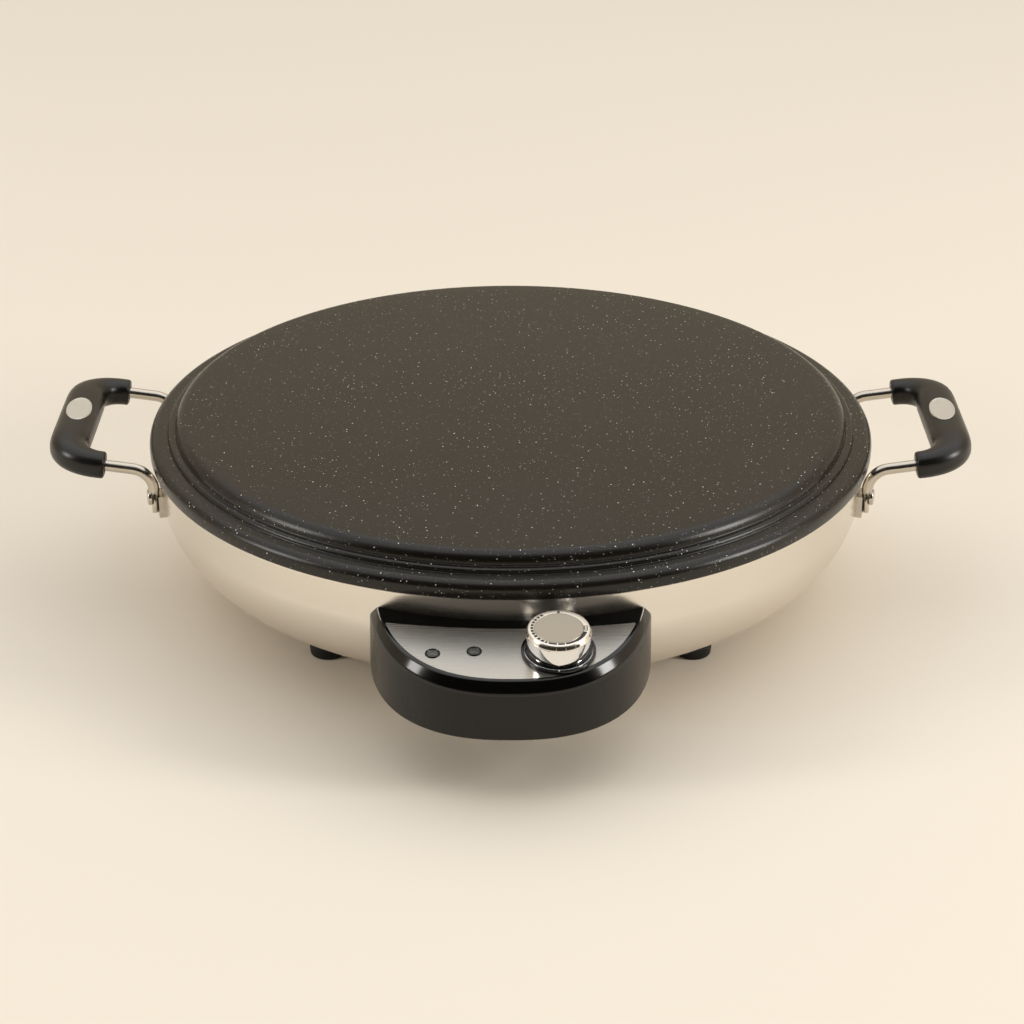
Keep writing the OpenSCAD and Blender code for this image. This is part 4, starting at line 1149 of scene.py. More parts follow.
@dataclass
class Knob:
    """The thermostat's knob with its dial, its cap, its bezel and the bezel's trim."""

    panel: Panel = field(default_factory=Panel)
    place: Point = (22.0, -210.7)
    radius: float = 15.1
    height: float = 13.5
    shoulder: float = 11.3
    wall: float = 3.6
    roof: float = 1.2
    hub_radius: float = 6.0
    spindle_radius: float = 3.1
    cap_radius: float = 11.3
    cap_thickness: float = 1.2
    gap: float = 0.8
    scoop_tilt: float = 19.7
    scoop_low: float = 2.5
    scoop_round: float = 0.45
    bezel_radius: float = 17.3
    bezel_wall: float = 1.35
    bezel_floor: float = 0.45
    bezel_height: float = 1.7
    bezel_round: float = 0.55
    trim_radius: float = 15.62
    dial_radius: float = 12.3
    ink: float = 0.08
    steps: int = 160
    row_marks: int = 9
    off_mark: Mark = Mark(-177.2, -182.8, 1.25)
    arcs: tuple[Mark, ...] = (
        Mark(52, 44.5, 1.4), Mark(41.5, 34, 1.4), Mark(31.5, 26, 1.3), Mark(23.5, 5, 1.2),
        Mark(2.5, -12, 1.2), Mark(-14.5, -40, 1.25), Mark(-39.5, -60, 1.6), Mark(-59.5, -77, 1.8),
    )
    dotted_square: tuple[Mark, ...] = (
        Mark(-81, -83, 1.7), Mark(-96, -98, 1.7), Mark(-81, -98, 0.4, 11.6), Mark(-81, -98, 0.4, 13.0),
        Mark(-88.5, -90.5, 1.5),
    )
    shoulder_marks: tuple[Mark, ...] = (
        Mark(39, 34, tip=Tip.START), Mark(34, 6.5), Mark(4.5, -11), Mark(-13, -30),
        Mark(-31, -40, tip=Tip.END), Mark(84, 79), Mark(76, 70, tip=Tip.END),
        Mark(-70, -75, tip=Tip.START), Mark(-78, -82), Mark(-84.5, -87),
    )

    def printed(self, mark: Mark, inner: Point, outer: Point) -> bpy.types.Object:
        """Prints a thin mark that follows the knob round.

        Args:
            mark: the mark.
            inner: (radius, height) of its inner edge, in millimetres.
            outer: (radius, height) of its outer edge.

        Returns:
            The print, on a knob that stands upright at the origin.
        """
        sweep = mark.end - mark.start
        first, last = math.radians(-90 - mark.start), math.radians(-90 - mark.end)
        edge = [mm(r * math.cos(first), r * math.sin(first), z) for r, z in (inner, outer)]
        stamp = draw_line("dial_mark", edge)
        with editing(stamp):
            bpy.ops.mesh.spin(steps=max(2, int(abs(sweep) / 2)), angle=math.radians(sweep),
                              center=(0, 0, 0), axis=(0, 0, 1))
            for turn, tip in ((first, Tip.START), (last, Tip.END)):
                if mark.tip is tip:
                    way = Vector((-math.sin(turn), math.cos(turn), 0))
                    pick(stamp, Part.VERTS, lambda vert: abs(vert.co.dot(way)) < WELD)
                    bpy.ops.mesh.merge(type="CENTER")
        sheet = stamp.modifiers.new("ink", "SOLIDIFY")
        sheet.thickness, sheet.offset = self.ink * MM, 0.0
        apply(stamp, sheet)
        return stamp

    def dial(self) -> bpy.types.Object:
        """The printed scale: a row of growing marks round the top and a band on the shoulder.

        Returns:
            The print, on a knob that stands upright at the origin.
        """
        on_top = [self.off_mark]
        for i in range(self.row_marks):
            start = 144 - 10.1 * i
            on_top.append(Mark(start, start - 6.2 - 0.15 * i, 1.2 + 0.03 * i))
        prints = []
        for mark in (*on_top, *self.arcs, *self.dotted_square):
            middle, half = mark.middle or self.dial_radius, mark.deep / 2
            prints.append(self.printed(mark, (middle - half, self.height), (middle + half, self.height)))
        high, low = (self.radius - 0.68, self.height - 0.66), (self.radius - 0.10, self.shoulder + 0.3)
        prints += [self.printed(mark, high, low) for mark in self.shoulder_marks]
        for each in prints:
            face_outwards(each)
        return joined("knob_dial_print", prints)

    def scoop(self, body: bpy.types.Object) -> None:
        """Cuts the finger scoop into the body's front and rounds its border.

        Args:
            body: the knob's body, upright at the origin.
        """
        tilt, foot = math.radians(-self.scoop_tilt), mm(0, 0.05 - self.radius, self.scoop_low)
        cutter = begin("knob_scoop", bpy.ops.mesh.primitive_cube_add, size=1.0, location=(0, 0, 0))
        cutter.scale = mm(50, 20, 60)
        settle(cutter)
        settle(cutter, Matrix.Translation(mm(0, -10, 10)))
        settle(cutter, Matrix.Translation(foot) @ Matrix.Rotation(tilt, 4, "X"))
        slice_off(cutter, mm(0, 0, self.shoulder - 0.6), UP)
        cut_away(body, cutter)
        normal, low = Vector((0, -math.cos(tilt), -math.sin(tilt))), (self.shoulder - 0.9) * MM
        round_edges(body, lambda edge: edge_turn(edge) > 12 and edge_middle(edge).z < low and all(
            abs((vert.co - foot).dot(normal)) < 2e-6 for vert in edge.verts), self.scoop_round, 3)

    def body(self) -> bpy.types.Object:
        """The chromed body: a skirt, a shoulder, a chamfer for the scale and the cap's seat.

        Returns:
            The body, upright at the origin.
        """
        edge, rim, shoulder, gap, seat = self.radius, self.height, self.shoulder, self.gap, self.cap_radius
        top, inner, floor, roof = edge - 0.8, edge - self.wall, rim - self.cap_thickness, shoulder - self.roof
        profile = [
            (0, floor), (seat, floor), (seat, rim - 0.1), (seat + 0.12, rim),
            (top - 0.55, rim), (top - 0.22, rim - 0.12), (top, rim - 0.45),
            (edge - 0.08, shoulder + 0.25), (edge, shoulder), (edge - 0.06, shoulder - 0.35),
            (edge - 0.1, shoulder - 0.6), (edge - 0.38, gap + 0.5), (edge - 0.5, gap + 0.15),
            (edge - 0.8, gap), (inner, gap), (inner, roof), (self.hub_radius, roof),
            (self.hub_radius, gap), (self.spindle_radius, gap), (self.spindle_radius, rim - 3.2),
            (0, rim - 3.2),
        ]
        body = turned("knob_shell", profile, Matrix.Identity(4), self.steps, closed=False)
        self.scoop(body)
        return body

    def cap(self, seat: Matrix) -> bpy.types.Object:
        """The cap that lies in the body's top.

        Args:
            seat: where the knob stands.

        Returns:
            The cap.
        """
        low, high, edge = self.height - self.cap_thickness, self.height, self.cap_radius - 0.05
        profile = [(0, low), (edge, low), (edge, high - 0.15), (edge - 0.15, high), (edge * 0.6, high),
                   (0, high)]
        return turned("knob_cap_disc", profile, seat, closed=False)

    def bezel(self, seat: Matrix, wardrobe: Wardrobe) -> bpy.types.Object:
        """The black ring round the knob, with a pale tick at its front.

        Args:
            seat: where the knob stands.
            wardrobe: the appliance's finishes.

        Returns:
            The ring, in its two finishes.
        """
        outer, inner, foot = self.bezel_radius, self.bezel_radius - self.bezel_wall, self.radius - 1.6
        high, bend = self.bezel_height, self.bezel_round
        profile = [
            (foot, 0.01), (outer, 0.01), *arc((outer - bend, high - bend), bend, 0, 90, 6),
            (inner + 0.15, high), (inner, high - 0.15), (inner, self.bezel_floor), (foot, self.bezel_floor),
        ]
        ring = wardrobe.wear(turned("knob_bezel_ring", profile, seat, 128), "gloss_black")
        half, near, far = 0.35, 0.15 - outer, -0.2 - inner
        outline = [(-half, near), (half, near), (half, far), (-half, far)]
        tick = settle(slab("bezel_tick", outline, high - 0.02, high + 0.04), seat)
        return joined("knob_bezel_ring", [ring, wardrobe.wear(tick, "printed_white")])

    def trim(self, seat: Matrix) -> bpy.types.Object:
        """The bright ring inside the bezel.

        Args:
            seat: where the knob stands.

        Returns:
            The ring.
        """
        inner, outer = self.trim_radius, self.bezel_radius - self.bezel_wall - 0.02
        profile = [(inner, self.bezel_floor), (outer, self.bezel_floor), (outer, 1.42), (inner + 0.14, 1.5),
                   (inner, 1.4)]
        return turned("knob_trim_ring", profile, seat, 128)

    def build(self, wardrobe: Wardrobe) -> list[bpy.types.Object]:
        """Builds the knob's pieces.

        The body's skirt is chromed; the ring round its cap and its shoulder are satin.

        Args:
            wardrobe: the appliance's finishes.

        Returns:
            The pieces.
        """
        seat = self.panel.at(*self.place)
        satin_from = (self.shoulder - 0.1) * MM
        body = wardrobe.wear_two(self.body(), "chrome", "satin_rim",
                                 lambda face: face.normal.z > 0.2 and face.center.z > satin_from)
        smooth(settle(body, seat))
        dial = wardrobe.wear(settle(self.dial(), seat), "printed_black")
        cap = wardrobe.wear(self.cap(seat), "satin_cap")
        bezel = self.bezel(seat, wardrobe)
        trim = wardrobe.wear(self.trim(seat), "chrome")
        return [
            mounted(body, "knob", "chrome", "knob_body"),
            mounted(dial, "knob", "satin_black"),
            mounted(cap, "knob", "satin_cap", "knob_cap"),
            mounted(bezel, "base", "gloss_black", "knob_bezel"),
            mounted(trim, "base", "chrome", "knob_bezel_trim"),
        ]


@dataclass
class Lamp:
    """An indicator lamp: a ring pressed into the fascia round a domed lens."""

    side: Side
    place: Point
    panel: Panel = field(default_factory=Panel)
    ring_radius: float = 3.6
    lens_radius: float = 2.65
    lens_gap: float = 0.06
    lens_foot: float = -1.2
    barrel_radius: float = 3.15
    depth: float = 8.0
    steps: int = 64

    def build(self, wardrobe: Wardrobe) -> list[bpy.types.Object]:
        """Builds the ring and the lens.

        Args:
            wardrobe: the appliance's finishes.

        Returns:
            The two pieces.
        """
        seat, side = self.panel.at(*self.place), self.side.value
        hole, edge, lens_edge = self.lens_radius + self.lens_gap, self.ring_radius, self.lens_radius
        ring = turned(f"lamp_ring_{side}", [
            (hole, -self.depth), (self.barrel_radius, -self.depth), (self.barrel_radius, 0.01),
            (edge, 0.01), (edge - 0.06, 0.25), (edge - 0.3, 0.46), (edge - 0.7, 0.46), (hole, 0.2),
        ], seat, self.steps)
        lens = turned(f"lamp_dome_{side}", [
            (0, self.lens_foot), (lens_edge, self.lens_foot), (lens_edge, 0.12), (lens_edge - 0.15, 0.24),
            (lens_edge - 0.55, 0.26), (lens_edge - 0.65, 0.14), (lens_edge - 0.85, 0.14),
            (lens_edge - 0.95, 0.28), (0.9, 0.36), (0, 0.38),
        ], seat, self.steps, closed=False)
        return [
            mounted(wardrobe.wear(ring, "lamp_ring"), "base", "chrome", f"lamp_bezel_{side}"),
            mounted(wardrobe.wear(lens, "lamp_lens"), "base", "lamp_lens", f"lamp_lens_{side}"),
        ]


@dataclass
class Handle:
    """A wire handle with its grip, badge and rivets, modelled on the right and mirrored."""

    arm: float = 47.0
    wire: float = 5.8
    slope: float = 8.0
    reach: float = 35.2
    bend: float = 12.0
    corner: float = 18.0
    strap_radius: float = 188.7
    strap_top: float = 70.0
    lug: Triple = (3.0, 10.0, 13.0)
    lug_neck: tuple[Triple, ...] = ((1.6, 0.86, 1.10), (3.2, 0.66, 1.42))
    lug_turns: tuple[float, ...] = (0.35, 0.7, 1.0, 1.25, 1.45)
    grip_width: float = 20.8
    grip_height: float = 17.0
    grip_end: float = 13.4
    grip_grows: float = 1.6
    grip_fullness: float = 2.4
    grip_tip: tuple[Point, ...] = ((0.0, 0.80), (0.35, 0.93), (1.1, 1.0))
    grip_sides: int = 40
    grip_stations: int = 44
    bare_arm: float = 14.0
    badge: Point = (28.0, 13.0)
    badge_depth: float = 1.2
    rivet_radius: float = 4.15
    rivet_shank: float = 2.0
    rivet_inside: float = 183.4
    rivet_height: float = 66.0
    wire_sides: int = 24
    bend_steps: int = 10

    @property
    def strap_middle(self) -> float:
        """Radius of the middle of a flattened end's thickness."""
        return self.strap_radius + self.lug[0] / 2

    @property
    def strap_turn(self) -> float:
        """Azimuth of a flattened end, in radians."""
        return math.asin(self.arm / self.strap_middle)

    @property
    def bend_x(self) -> float:
        """Distance of the downward bend's centre from the plate's axis."""
        return self.strap_middle * math.cos(self.strap_turn) + self.bend

    @property
    def arm_length(self) -> float:
        """Length of an arm's straight part."""
        return self.reach - self.corner

    @property
    def side_half(self) -> float:
        """Half the length of the straight part along the plate's edge."""
        return self.arm - self.corner

    @property
    def quarter(self) -> float:
        """Length of the wire round a corner."""
        return self.corner * math.pi / 2

    @property
    def covered_arm(self) -> float:
        """Length of an arm's straight part that the grip covers."""
        return self.arm_length - self.bare_arm

    @property
    def grip_half(self) -> float:
        """Half the grip's length along the wire."""
        return self.covered_arm + self.quarter + self.side_half

    def plane(self) -> Matrix:
        """The handle's sloping plane, with X outwards and Y along the plate's edge.

        Returns:
            The plane's place.
        """
        lean = math.radians(self.slope)
        start = mm(self.bend_x - self.bend * math.sin(lean), 0, self.strap_top + self.bend * math.cos(lean))
        return Matrix.Translation(PLATE_AXIS + start) @ Matrix.Rotation(-lean, 4, "Y")

    def bent_wire(self) -> bpy.types.Object:
        """One half of the round wire, from its middle to the end of the downward bend.

        Returns:
            The wire, open at both ends.
        """
        lean, half, steps = math.radians(self.slope), self.side_half, self.bend_steps
        wire = settle(begin("wire_right", bpy.ops.mesh.primitive_circle_add, vertices=self.wire_sides,
                            radius=self.wire / 2 * MM, location=mm(self.reach, 0, 0),
                            rotation=(math.pi / 2, 0, 0)))
        place = self.plane()
        down = place.inverted() @ (PLATE_AXIS + mm(self.bend_x, self.arm, self.strap_top))
        with editing(wire):
            push_out(mm(0, half, 0))
            bpy.ops.mesh.spin(steps=steps, angle=math.pi / 2, center=mm(self.arm_length, half, 0),
                              axis=(0, 0, -1))
            push_out(mm(-self.arm_length, 0, 0))
            bpy.ops.mesh.spin(steps=steps, angle=math.pi / 2 - lean, center=down, axis=(0, 1, 0))
        with editing(wire):
            bpy.ops.mesh.remove_doubles(threshold=WELD)
        return settle(wire, place)

    def flatten_end(self, wire: bpy.types.Object) -> None:
        """Draws the open end of the wire out into its flattened, rounded lug.

        Each step is a drop, a share of the wire's thickness and a share of its width.

        Args:
            wire: the bent wire.
        """
        thick, wide, length = self.lug
        flat, broad = thick / self.wire, wide / self.wire
        end = PLATE_AXIS + mm(self.bend_x - self.bend, self.arm, self.strap_top)
        frame_turn = Matrix.Rotation(self.strap_turn, 3, "Z")
        radius = wide / 2
        steps = [*self.lug_neck, (4.6, flat, broad), (length - radius, flat, broad)]
        steps += [(length - radius + radius * math.sin(turn), flat, broad * math.cos(turn))
                  for turn in self.lug_turns]
        with editing(wire, all_selected=False):
            pick(wire, Part.VERTS, lambda vert: abs(vert.co.z - end.z) < 2e-5 and vert.co.y > end.y - 0.02)
            low, thin, spread = 0.0, 1.0, 1.0
            for new_low, new_thin, new_spread in steps:
                push_out(mm(0, 0, low - new_low))
                bpy.ops.transform.resize(value=(new_thin / thin, new_spread / spread, 1),
                                         orient_matrix=frame_turn, orient_matrix_type="LOCAL",
                                         orient_type="LOCAL", center_override=end - mm(0, 0, new_low))
                low, thin, spread = new_low, new_thin, new_spread
            bpy.ops.mesh.edge_face_add()

    def build_wire(self) -> bpy.types.Object:
        """The whole right-hand wire: one half, finished and mirrored front to back.

        Returns:
            The wire.
        """
        half = self.bent_wire()
        self.flatten_end(half)
        front_to_back = ON_AXIS @ Matrix.Scale(-1, 4, (0, 1, 0)) @ Matrix.Translation(-PLATE_AXIS)
        whole = joined("wire_right", [half, copied(half, "wire_half", front_to_back)])
        face_outwards(whole)
        return smooth(whole, 40)

    def grip_size(self, share: float) -> Point:
        """The grip's half width and half height, which grow from its tip.

        Args:
            share: the place, as a share of the grip's half length from its tip.

        Returns:
            The half width and the half height.
        """
        ease = min(1.0, max(0.0, self.grip_grows * share))
        ease = ease * ease * (3 - 2 * ease)
        wide = self.grip_end + (self.grip_width - self.grip_end) * ease
        high = self.grip_end + (self.grip_height - self.grip_end) * ease
        return wide / 2, high / 2

    def station(self, along: float) -> tuple[Vector, float]:
        """A place on the grip's sweep round the wire.

        Args:
            along: the length of wire from the sweep's first tip.

        Returns:
            The centre and the heading, in radians.
        """
        half, straight = self.grip_half, self.covered_arm
        mirror = along > half
        along = 2 * half - along if mirror else along
        if along <= straight:
            x, y, turn = self.bare_arm + along, self.arm, 0.0
        elif along <= straight + self.quarter:
            turn = (along - straight) / self.corner
            x = self.arm_length + self.corner * math.sin(turn)
            y = self.side_half + self.corner * math.cos(turn)
        else:
            x, y, turn = self.reach, half - along, math.pi / 2
        return (mm(x, -y, 0), -math.pi + turn) if mirror else (mm(x, y, 0), -turn)

    def grip_section(self) -> bpy.types.Object:
        """The grip's oval section, one millimetre to each side of its centre.

        Returns:
            The section as a closed line.
        """
        power = 2 / self.grip_fullness
        points = []
        for i in range(self.grip_sides):
            c, s = math.cos(math.tau * i / self.grip_sides), math.sin(math.tau * i / self.grip_sides)
            points.append(mm(0, math.copysign(abs(c) ** power, c), math.copysign(abs(s) ** power, s)))
        return draw_line("grip_right", points, closed=True)

    def build_grip(self) -> bpy.types.Object:
        """The right-hand grip: an oval section swept round the wire by extruding, turning and resizing.

        Returns:
            The grip.
        """
        half, tip, stations = self.grip_half, self.grip_tip[-1][0], self.grip_stations
        rings = list(self.grip_tip)
        rings += [(tip + (2 * half - 2 * tip) * i / stations, 1.0) for i in range(1, stations)]
        rings += [(2 * half - along, share) for along, share in reversed(self.grip_tip)]
        grip = self.grip_section()
        with editing(grip):
            wide, high, heading, here = 1.0, 1.0, 0.0, Vector((0, 0, 0))
            for number, (along, share) in enumerate(rings):
                centre, turn = self.station(along)
                from_tip = min(along, 2 * half - along) / half
                new_wide, new_high = (size * share for size in self.grip_size(from_tip))
                if number:
                    push_out((0, 0, 0))
                bpy.ops.transform.rotate(value=heading, orient_axis="Z", center_override=here)
                bpy.ops.transform.resize(value=(1, new_wide / wide, new_high / high), center_override=here)
                bpy.ops.transform.rotate(value=-turn, orient_axis="Z", center_override=here)
                bpy.ops.transform.translate(value=centre - here)
                wide, high, heading, here = new_wide, new_high, turn, centre
            bpy.ops.mesh.edge_face_add()
            bpy.ops.mesh.select_non_manifold()
            bpy.ops.mesh.edge_face_add()
            pick(grip, Part.FACES, lambda face: len(face.verts) == self.grip_sides)
            bpy.ops.mesh.inset(thickness=1.7 * MM, depth=0)
            bpy.ops.mesh.inset(thickness=0.2 * MM, depth=-1.4 * MM)
        settle(grip, self.plane())
        face_outwards(grip)
        cut_away(grip, self.oval("badge_seat", 0.15, 3.0))
        return smooth(grip, 50)

    def oval(self, name: str, wider: float, height: float) -> bpy.types.Object:
        """An upright oval slab where the badge sits in the grip.

        Args:
            name: the piece's name.
            wider: how far it stands out past the badge's edge.
            height: how high it is above the badge's seat.

        Returns:
            The slab, in its place on the grip.
        """
        length, width = self.badge
        block = begin(name, bpy.ops.mesh.primitive_circle_add, vertices=64, radius=0.5, fill_type="NGON")
        block.scale = mm(width + 2 * wider, length + 2 * wider, 1)
        settle(block)
        with editing(block):
            push_out(mm(0, 0, height))
        face_outwards(block)
        seat = mm(self.reach, 0, self.grip_height / 2 - self.badge_depth)
        return settle(block, self.plane() @ Matrix.Translation(seat))

    def build_badge(self) -> bpy.types.Object:
        """The right-hand oval badge, bare within a thin raised rim.

        Returns:
            The badge.
        """
        badge = self.oval("badge_right", 0, self.badge_depth - 0.1)
        up = self.plane().to_3x3() @ UP
        with editing(badge, all_selected=False):
            pick(badge, Part.FACES, lambda face: face.normal.dot(up) > 0.99)
            for inwards, raised in ((0.2, 0.14), (0.6, 0), (0.2, -0.14)):
                bpy.ops.mesh.inset(thickness=inwards * MM, depth=raised * MM)
        return smooth(badge)

    def build_rivets(self) -> bpy.types.Object:
        """The right-hand pair of rivets: flat button heads outside, flat heads inside the bowl.

        Returns:
            The pair.
        """
        outer, radius = self.strap_radius + self.lug[0], self.rivet_radius
        shank, inside = self.rivet_shank, self.rivet_inside
        profile = [
            (0, inside), (3.25, inside), (3.25, inside + 1.4), (shank, inside + 1.4), (shank, outer),
            (radius - 0.3, outer), (radius, outer + 0.3), *arc((radius - 0.8, outer + 1.3), 0.8, 0, 80, 6),
            (1.6, outer + 2.3), (0, outer + 2.4),
        ]
        level = Matrix.Translation(PLATE_AXIS + mm(0, 0, self.rivet_height))
        outwards = Matrix.Rotation(math.pi / 2, 4, "Y")
        pair = []
        for turn in (self.strap_turn, -self.strap_turn):
            place = level @ Matrix.Rotation(turn, 4, "Z") @ outwards
            pair.append(turned("rivet", profile, place, 40, closed=False))
        return joined("rivets_right", pair)

    def build(self, wardrobe: Wardrobe) -> list[bpy.types.Object]:
        """Builds both handles.

        Args:
            wardrobe: the appliance's finishes.

        Returns:
            Their pieces.
        """
        made = []
        for build, node, finish, left_angle in ((self.build_wire, "handle_wire", "handle_steel", 40),
                                                (self.build_grip, "handle_grip", "grip_black", 50),
                                                (self.build_badge, "grip_badge", "badge_metal", 50),
                                                (self.build_rivets, "handle_rivets", "handle_steel", 40)):
            right = wardrobe.wear(build(), finish)
            left = smooth(mirrored(right, right.name.replace("right", "left")), left_angle)
            made.append(mounted(right, "base", finish, f"{node}_right"))
            made.append(mounted(left, "base", finish, f"{node}_left"))
        return made


@dataclass
class Feet:
    """Four rubber feet, each with the well of its screw."""

    ring: float = 132.0
    radius: float = 10.0
    height: float = 17.5
    well: float = 4.5
    well_roof: float = 7.0
    screw_radius: float = 2.1
    steps: int = 64

    def build(self, wardrobe: Wardrobe) -> list[bpy.types.Object]:
        """Turns one foot and copies it to its four places.

        Args:
            wardrobe: the appliance's finishes.

        Returns:
            The feet.
        """
        top, edge, well, roof = self.height, self.radius, self.well, self.height - self.well_roof
        profile = [
            (well, 0.3), (well + 0.3, 0), (edge - 1.9, 0), (edge - 1.3, 0.25), (edge - 0.9, 0.9),
            (edge - 0.45, 6), (edge - 0.75, 6.3), (edge - 0.75, 6.9), (edge - 0.35, 7.2),
            (edge - 0.05, top - 2), (edge, top - 0.1), (self.screw_radius, top - 0.1),
            (self.screw_radius, roof), (well, roof),
        ]
        places = {"front_left": (-1, -1), "front_right": (1, -1), "rear_left": (-1, 1), "rear_right": (1, 1)}
        made = []
        for name, (side, way) in places.items():
            spot = PLATE_AXIS + mm(side * self.ring, way * self.ring, 0) * math.sqrt(0.5)
            if not made:
                foot = turned(f"foot_pad_{name}", profile, Matrix.Translation(spot), self.steps)
                first = spot
            else:
                foot = copied(made[0], f"foot_pad_{name}", Matrix.Translation(spot - first))
            made.append(wardrobe.wear(foot, "foot_rubber"))
        return [mounted(foot, "base", "foot_rubber", foot.name.replace("foot_pad", "foot")) for foot in made]


@dataclass
class CordGland:
    """The cord entry at the back: a flange, a ribbed barrel and the open hole for a cord."""

    bore: float = 3.6
    radius: float = 7.0
    flange: float = 10.0
    wall: float = 186.0
    height: float = 65.3
    length: float = 12.0
    inside: float = 14.0
    ribs: Triple = (4.6, 6.6, 8.6)
    rib_depth: float = 0.7
    steps: int = 64

    def build(self, wardrobe: Wardrobe, bowl: Bowl) -> bpy.types.Object:
        """Turns the gland and fits its flange to the bowl.

        Args:
            wardrobe: the appliance's finishes.
            bowl: what the flange lies on.

        Returns:
            The piece.
        """
        wall, tip, back = self.wall, self.wall + self.length, self.wall - self.inside
        bore, edge, flange, low = self.bore, self.radius, self.flange, self.radius - self.rib_depth
        ribs = []
        for start in self.ribs:
            ribs += [(low, wall + start - 0.4), (low, wall + start), (edge, wall + start + 0.3),
                     (edge, wall + start + 1.2)]
        outer = [
            (flange, wall - 4), (flange, wall + 1.9), (flange - 0.8, wall + 2.8), (flange - 1.6, wall + 3),
            (edge + 0.4, wall + 3.1), *ribs, (edge, tip - 0.9), (edge - 0.3, tip - 0.2), (edge - 0.9, tip),
            (bore + 0.6, tip), (bore + 0.15, tip - 0.2), (bore, tip - 0.7), (bore, wall - 4),
        ]
        sleeve = [(bore, back), (edge - 0.05, back), (edge - 0.05, wall + 1), (bore, wall + 1)]
        level = Matrix.Translation(PLATE_AXIS + mm(0, 0, self.height))
        place = level @ Matrix.Rotation(-math.pi / 2, 4, "X")
        front = turned("gland_body", outer, place, self.steps)
        cut_away(front, bowl.filled())
        gland = joined("gland_body", [front, turned("gland_barrel", sleeve, place, self.steps)])
        wardrobe.wear(smooth(gland), "satin_black")
        return mounted(gland, "base", "satin_black", "cord_gland")


# ---------------------------------------------------------------- studio


def facing(place: Triple, aim: Triple) -> Any:
    """The turn that makes a camera or lamp at one place face another."""
    return (Vector(aim) - Vector(place)).to_track_quat("-Z", "Y").to_euler()


@dataclass(frozen=True)
class SoftLamp:
    """A soft rectangular lamp that faces the appliance; its power is in watts."""

    name: str
    place: Triple
    size: Point
    power: float
    tone: Colour = (1.0, 0.98, 0.95)
    aim: Triple = (0.0, 0.0, 0.06)

    def hang(self) -> None:
        """Hangs the lamp."""
        bpy.ops.object.light_add(type="AREA", location=self.place, rotation=facing(self.place, self.aim))
        lamp = bpy.context.object
        lamp.name = self.name
        lamp.data.shape = "RECTANGLE"
        lamp.data.size, lamp.data.size_y = self.size
        lamp.data.energy, lamp.data.color = self.power, self.tone


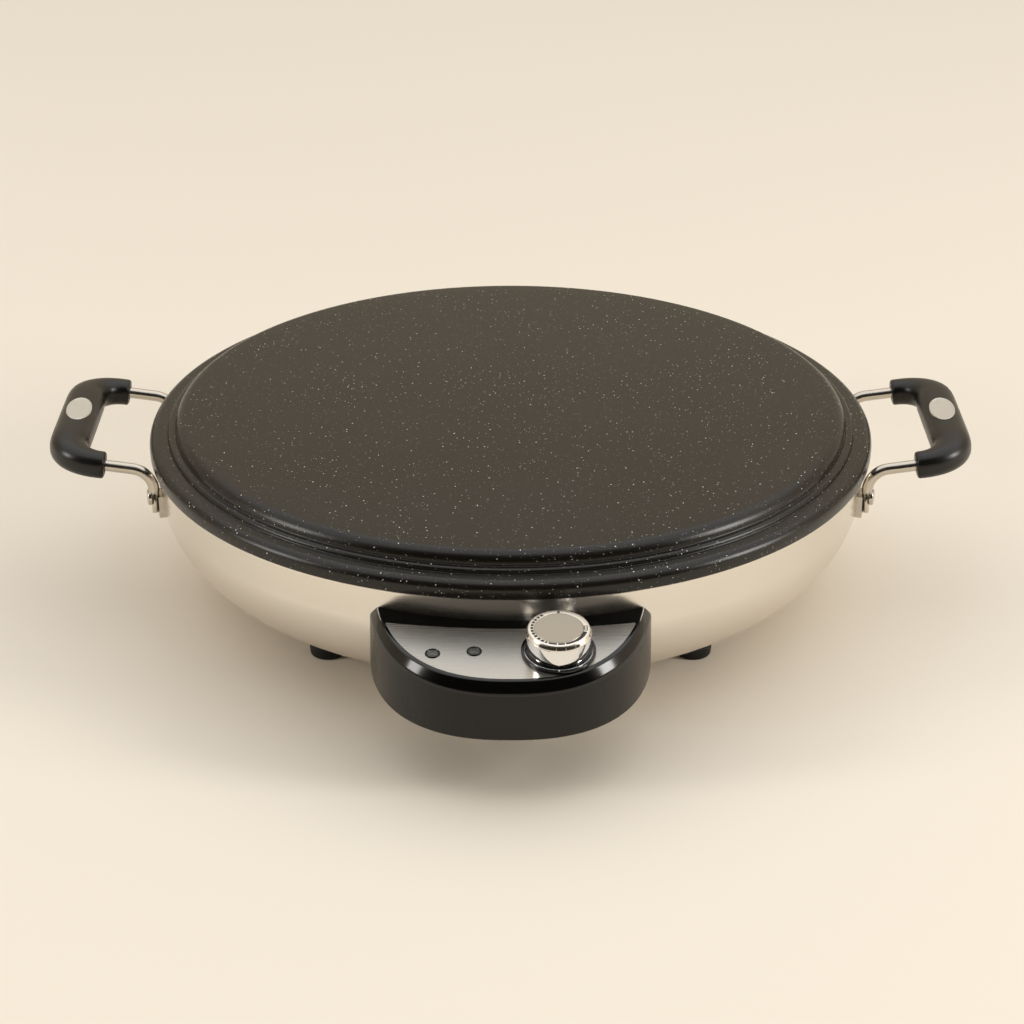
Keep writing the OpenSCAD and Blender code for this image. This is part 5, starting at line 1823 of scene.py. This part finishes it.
@dataclass
class Studio:
    """A wide warm floor, two side lamps, a bright room that is dark at the front, and the camera."""

    eye: Triple = (0.0, -1.19315, 0.6288)
    aim: Triple = (0.0, 0.01875, 0.034)
    lens: float = 87.89
    shift: float = 0.00137
    lamps: tuple[SoftLamp, ...] = (
        SoftLamp("lamp_left", (-2.16, -0.62, 0.93), (0.50, 0.90), 15.0),
        SoftLamp("lamp_right", (2.16, -0.62, 0.93), (0.55, 0.95), 25.0),
    )
    paper: tuple[Colour, Colour] = ((0.90, 0.825, 0.71), (0.92, 0.85, 0.74))
    floor_radius: float = 30.0
    room: Colour = (0.98, 0.98, 0.97)
    room_level: float = 1.17
    dark_level: float = 0.03
    dark_ends: Point = (-0.52, -0.14)
    right_side: float = 0.12
    far_tone: Colour = (0.93, 0.78, 0.575)
    horizon: Point = (0.50, 0.72)
    low_level: float = 0.56
    high_level: float = 1.14

    def clear(self) -> None:
        """Removes what a new file holds besides the frame."""
        kept = {*frame["nodes"].values(), *frame["bodies"].values()}
        for thing in [o for o in bpy.data.objects if o not in kept]:
            bpy.data.objects.remove(thing)

    def camera(self) -> None:
        """Sets the camera up."""
        bpy.ops.object.select_all(action="DESELECT")
        bpy.ops.object.camera_add(location=self.eye, rotation=facing(self.eye, self.aim))
        camera = bpy.context.object
        camera.name = "studio_camera"
        camera.data.lens, camera.data.sensor_width = self.lens, 36.0
        camera.data.shift_x = self.shift
        camera.data.clip_end = 50.0
        bpy.context.scene.camera = camera

    def floor(self) -> None:
        """Lays a wide round floor of plain paper."""
        sheet = settle(begin("studio_floor", bpy.ops.mesh.primitive_circle_add, vertices=96,
                             radius=self.floor_radius, fill_type="NGON"))
        graph = Graph("studio_paper")
        tone = graph.blend(graph.noise(graph.spot, 0.8, 1.0), *self.paper)
        sheet.data.materials.append(graph.shade(Base_Color=tone, Roughness=0.9, Specular_IOR_Level=0.1))

    def air(self) -> None:
        """Lights the room from all round, with the front dark like a black flag.

        It is a little brighter from the right, and dimmer and warmer low down than overhead. The
        camera itself sees one warm tone.
        """
        graph = Graph("studio_air", air=True)
        bpy.context.scene.world = graph.material
        x, y, z = graph.axes(graph.spot)
        depth = graph.spread(y, *self.dark_ends, self.dark_level, self.room_level)
        level = graph.times(depth, graph.math("MULTIPLY_ADD", x, self.right_side, 1.0))
        level = graph.times(level, graph.spread(z, *self.horizon, self.low_level, self.high_level))
        tone = graph.blend(graph.spread(z, *self.horizon), self.far_tone, self.room)
        graph.shade(Color=tone, Strength=level)
        far = graph.node("ShaderNodeBackground", {"Color": self.far_tone})
        seen = graph.node("ShaderNodeLightPath").outputs["Is Camera Ray"]
        choice = graph.node("ShaderNodeMixShader", {0: seen, 1: graph.shader.outputs[0], 2: far.outputs[0]})
        graph.feed(graph.tree.nodes["World Output"].inputs["Surface"], choice.outputs[0])

    def build(self) -> None:
        """Builds the studio."""
        self.camera()
        self.floor()
        for lamp in self.lamps:
            lamp.hang()
        self.air()
        bpy.context.scene.view_settings.view_transform = "Standard"


def main() -> None:
    """Builds the appliance piece by piece, then the studio round it."""
    logging.basicConfig(level=logging.INFO, format="%(name)s: %(message)s")
    studio = Studio()
    studio.clear()
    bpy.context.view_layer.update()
    wardrobe = Wardrobe()
    wardrobe.dress_frame()
    LOG.info("%d CAD nodes dressed", len(frame["nodes"]))
    bowl = Bowl()
    BakingPlate().build(wardrobe)
    bowl.build(wardrobe)
    ControlBox().build(wardrobe, bowl)
    Knob().build(wardrobe)
    Lamp(Side.LEFT, (-35.8, -212.1)).build(wardrobe)
    Lamp(Side.RIGHT, (-16.7, -210.5)).build(wardrobe)
    Handle().build(wardrobe)
    Feet().build(wardrobe)
    CordGland().build(wardrobe, bowl)
    studio.build()


if __name__ == "__main__":
    main()
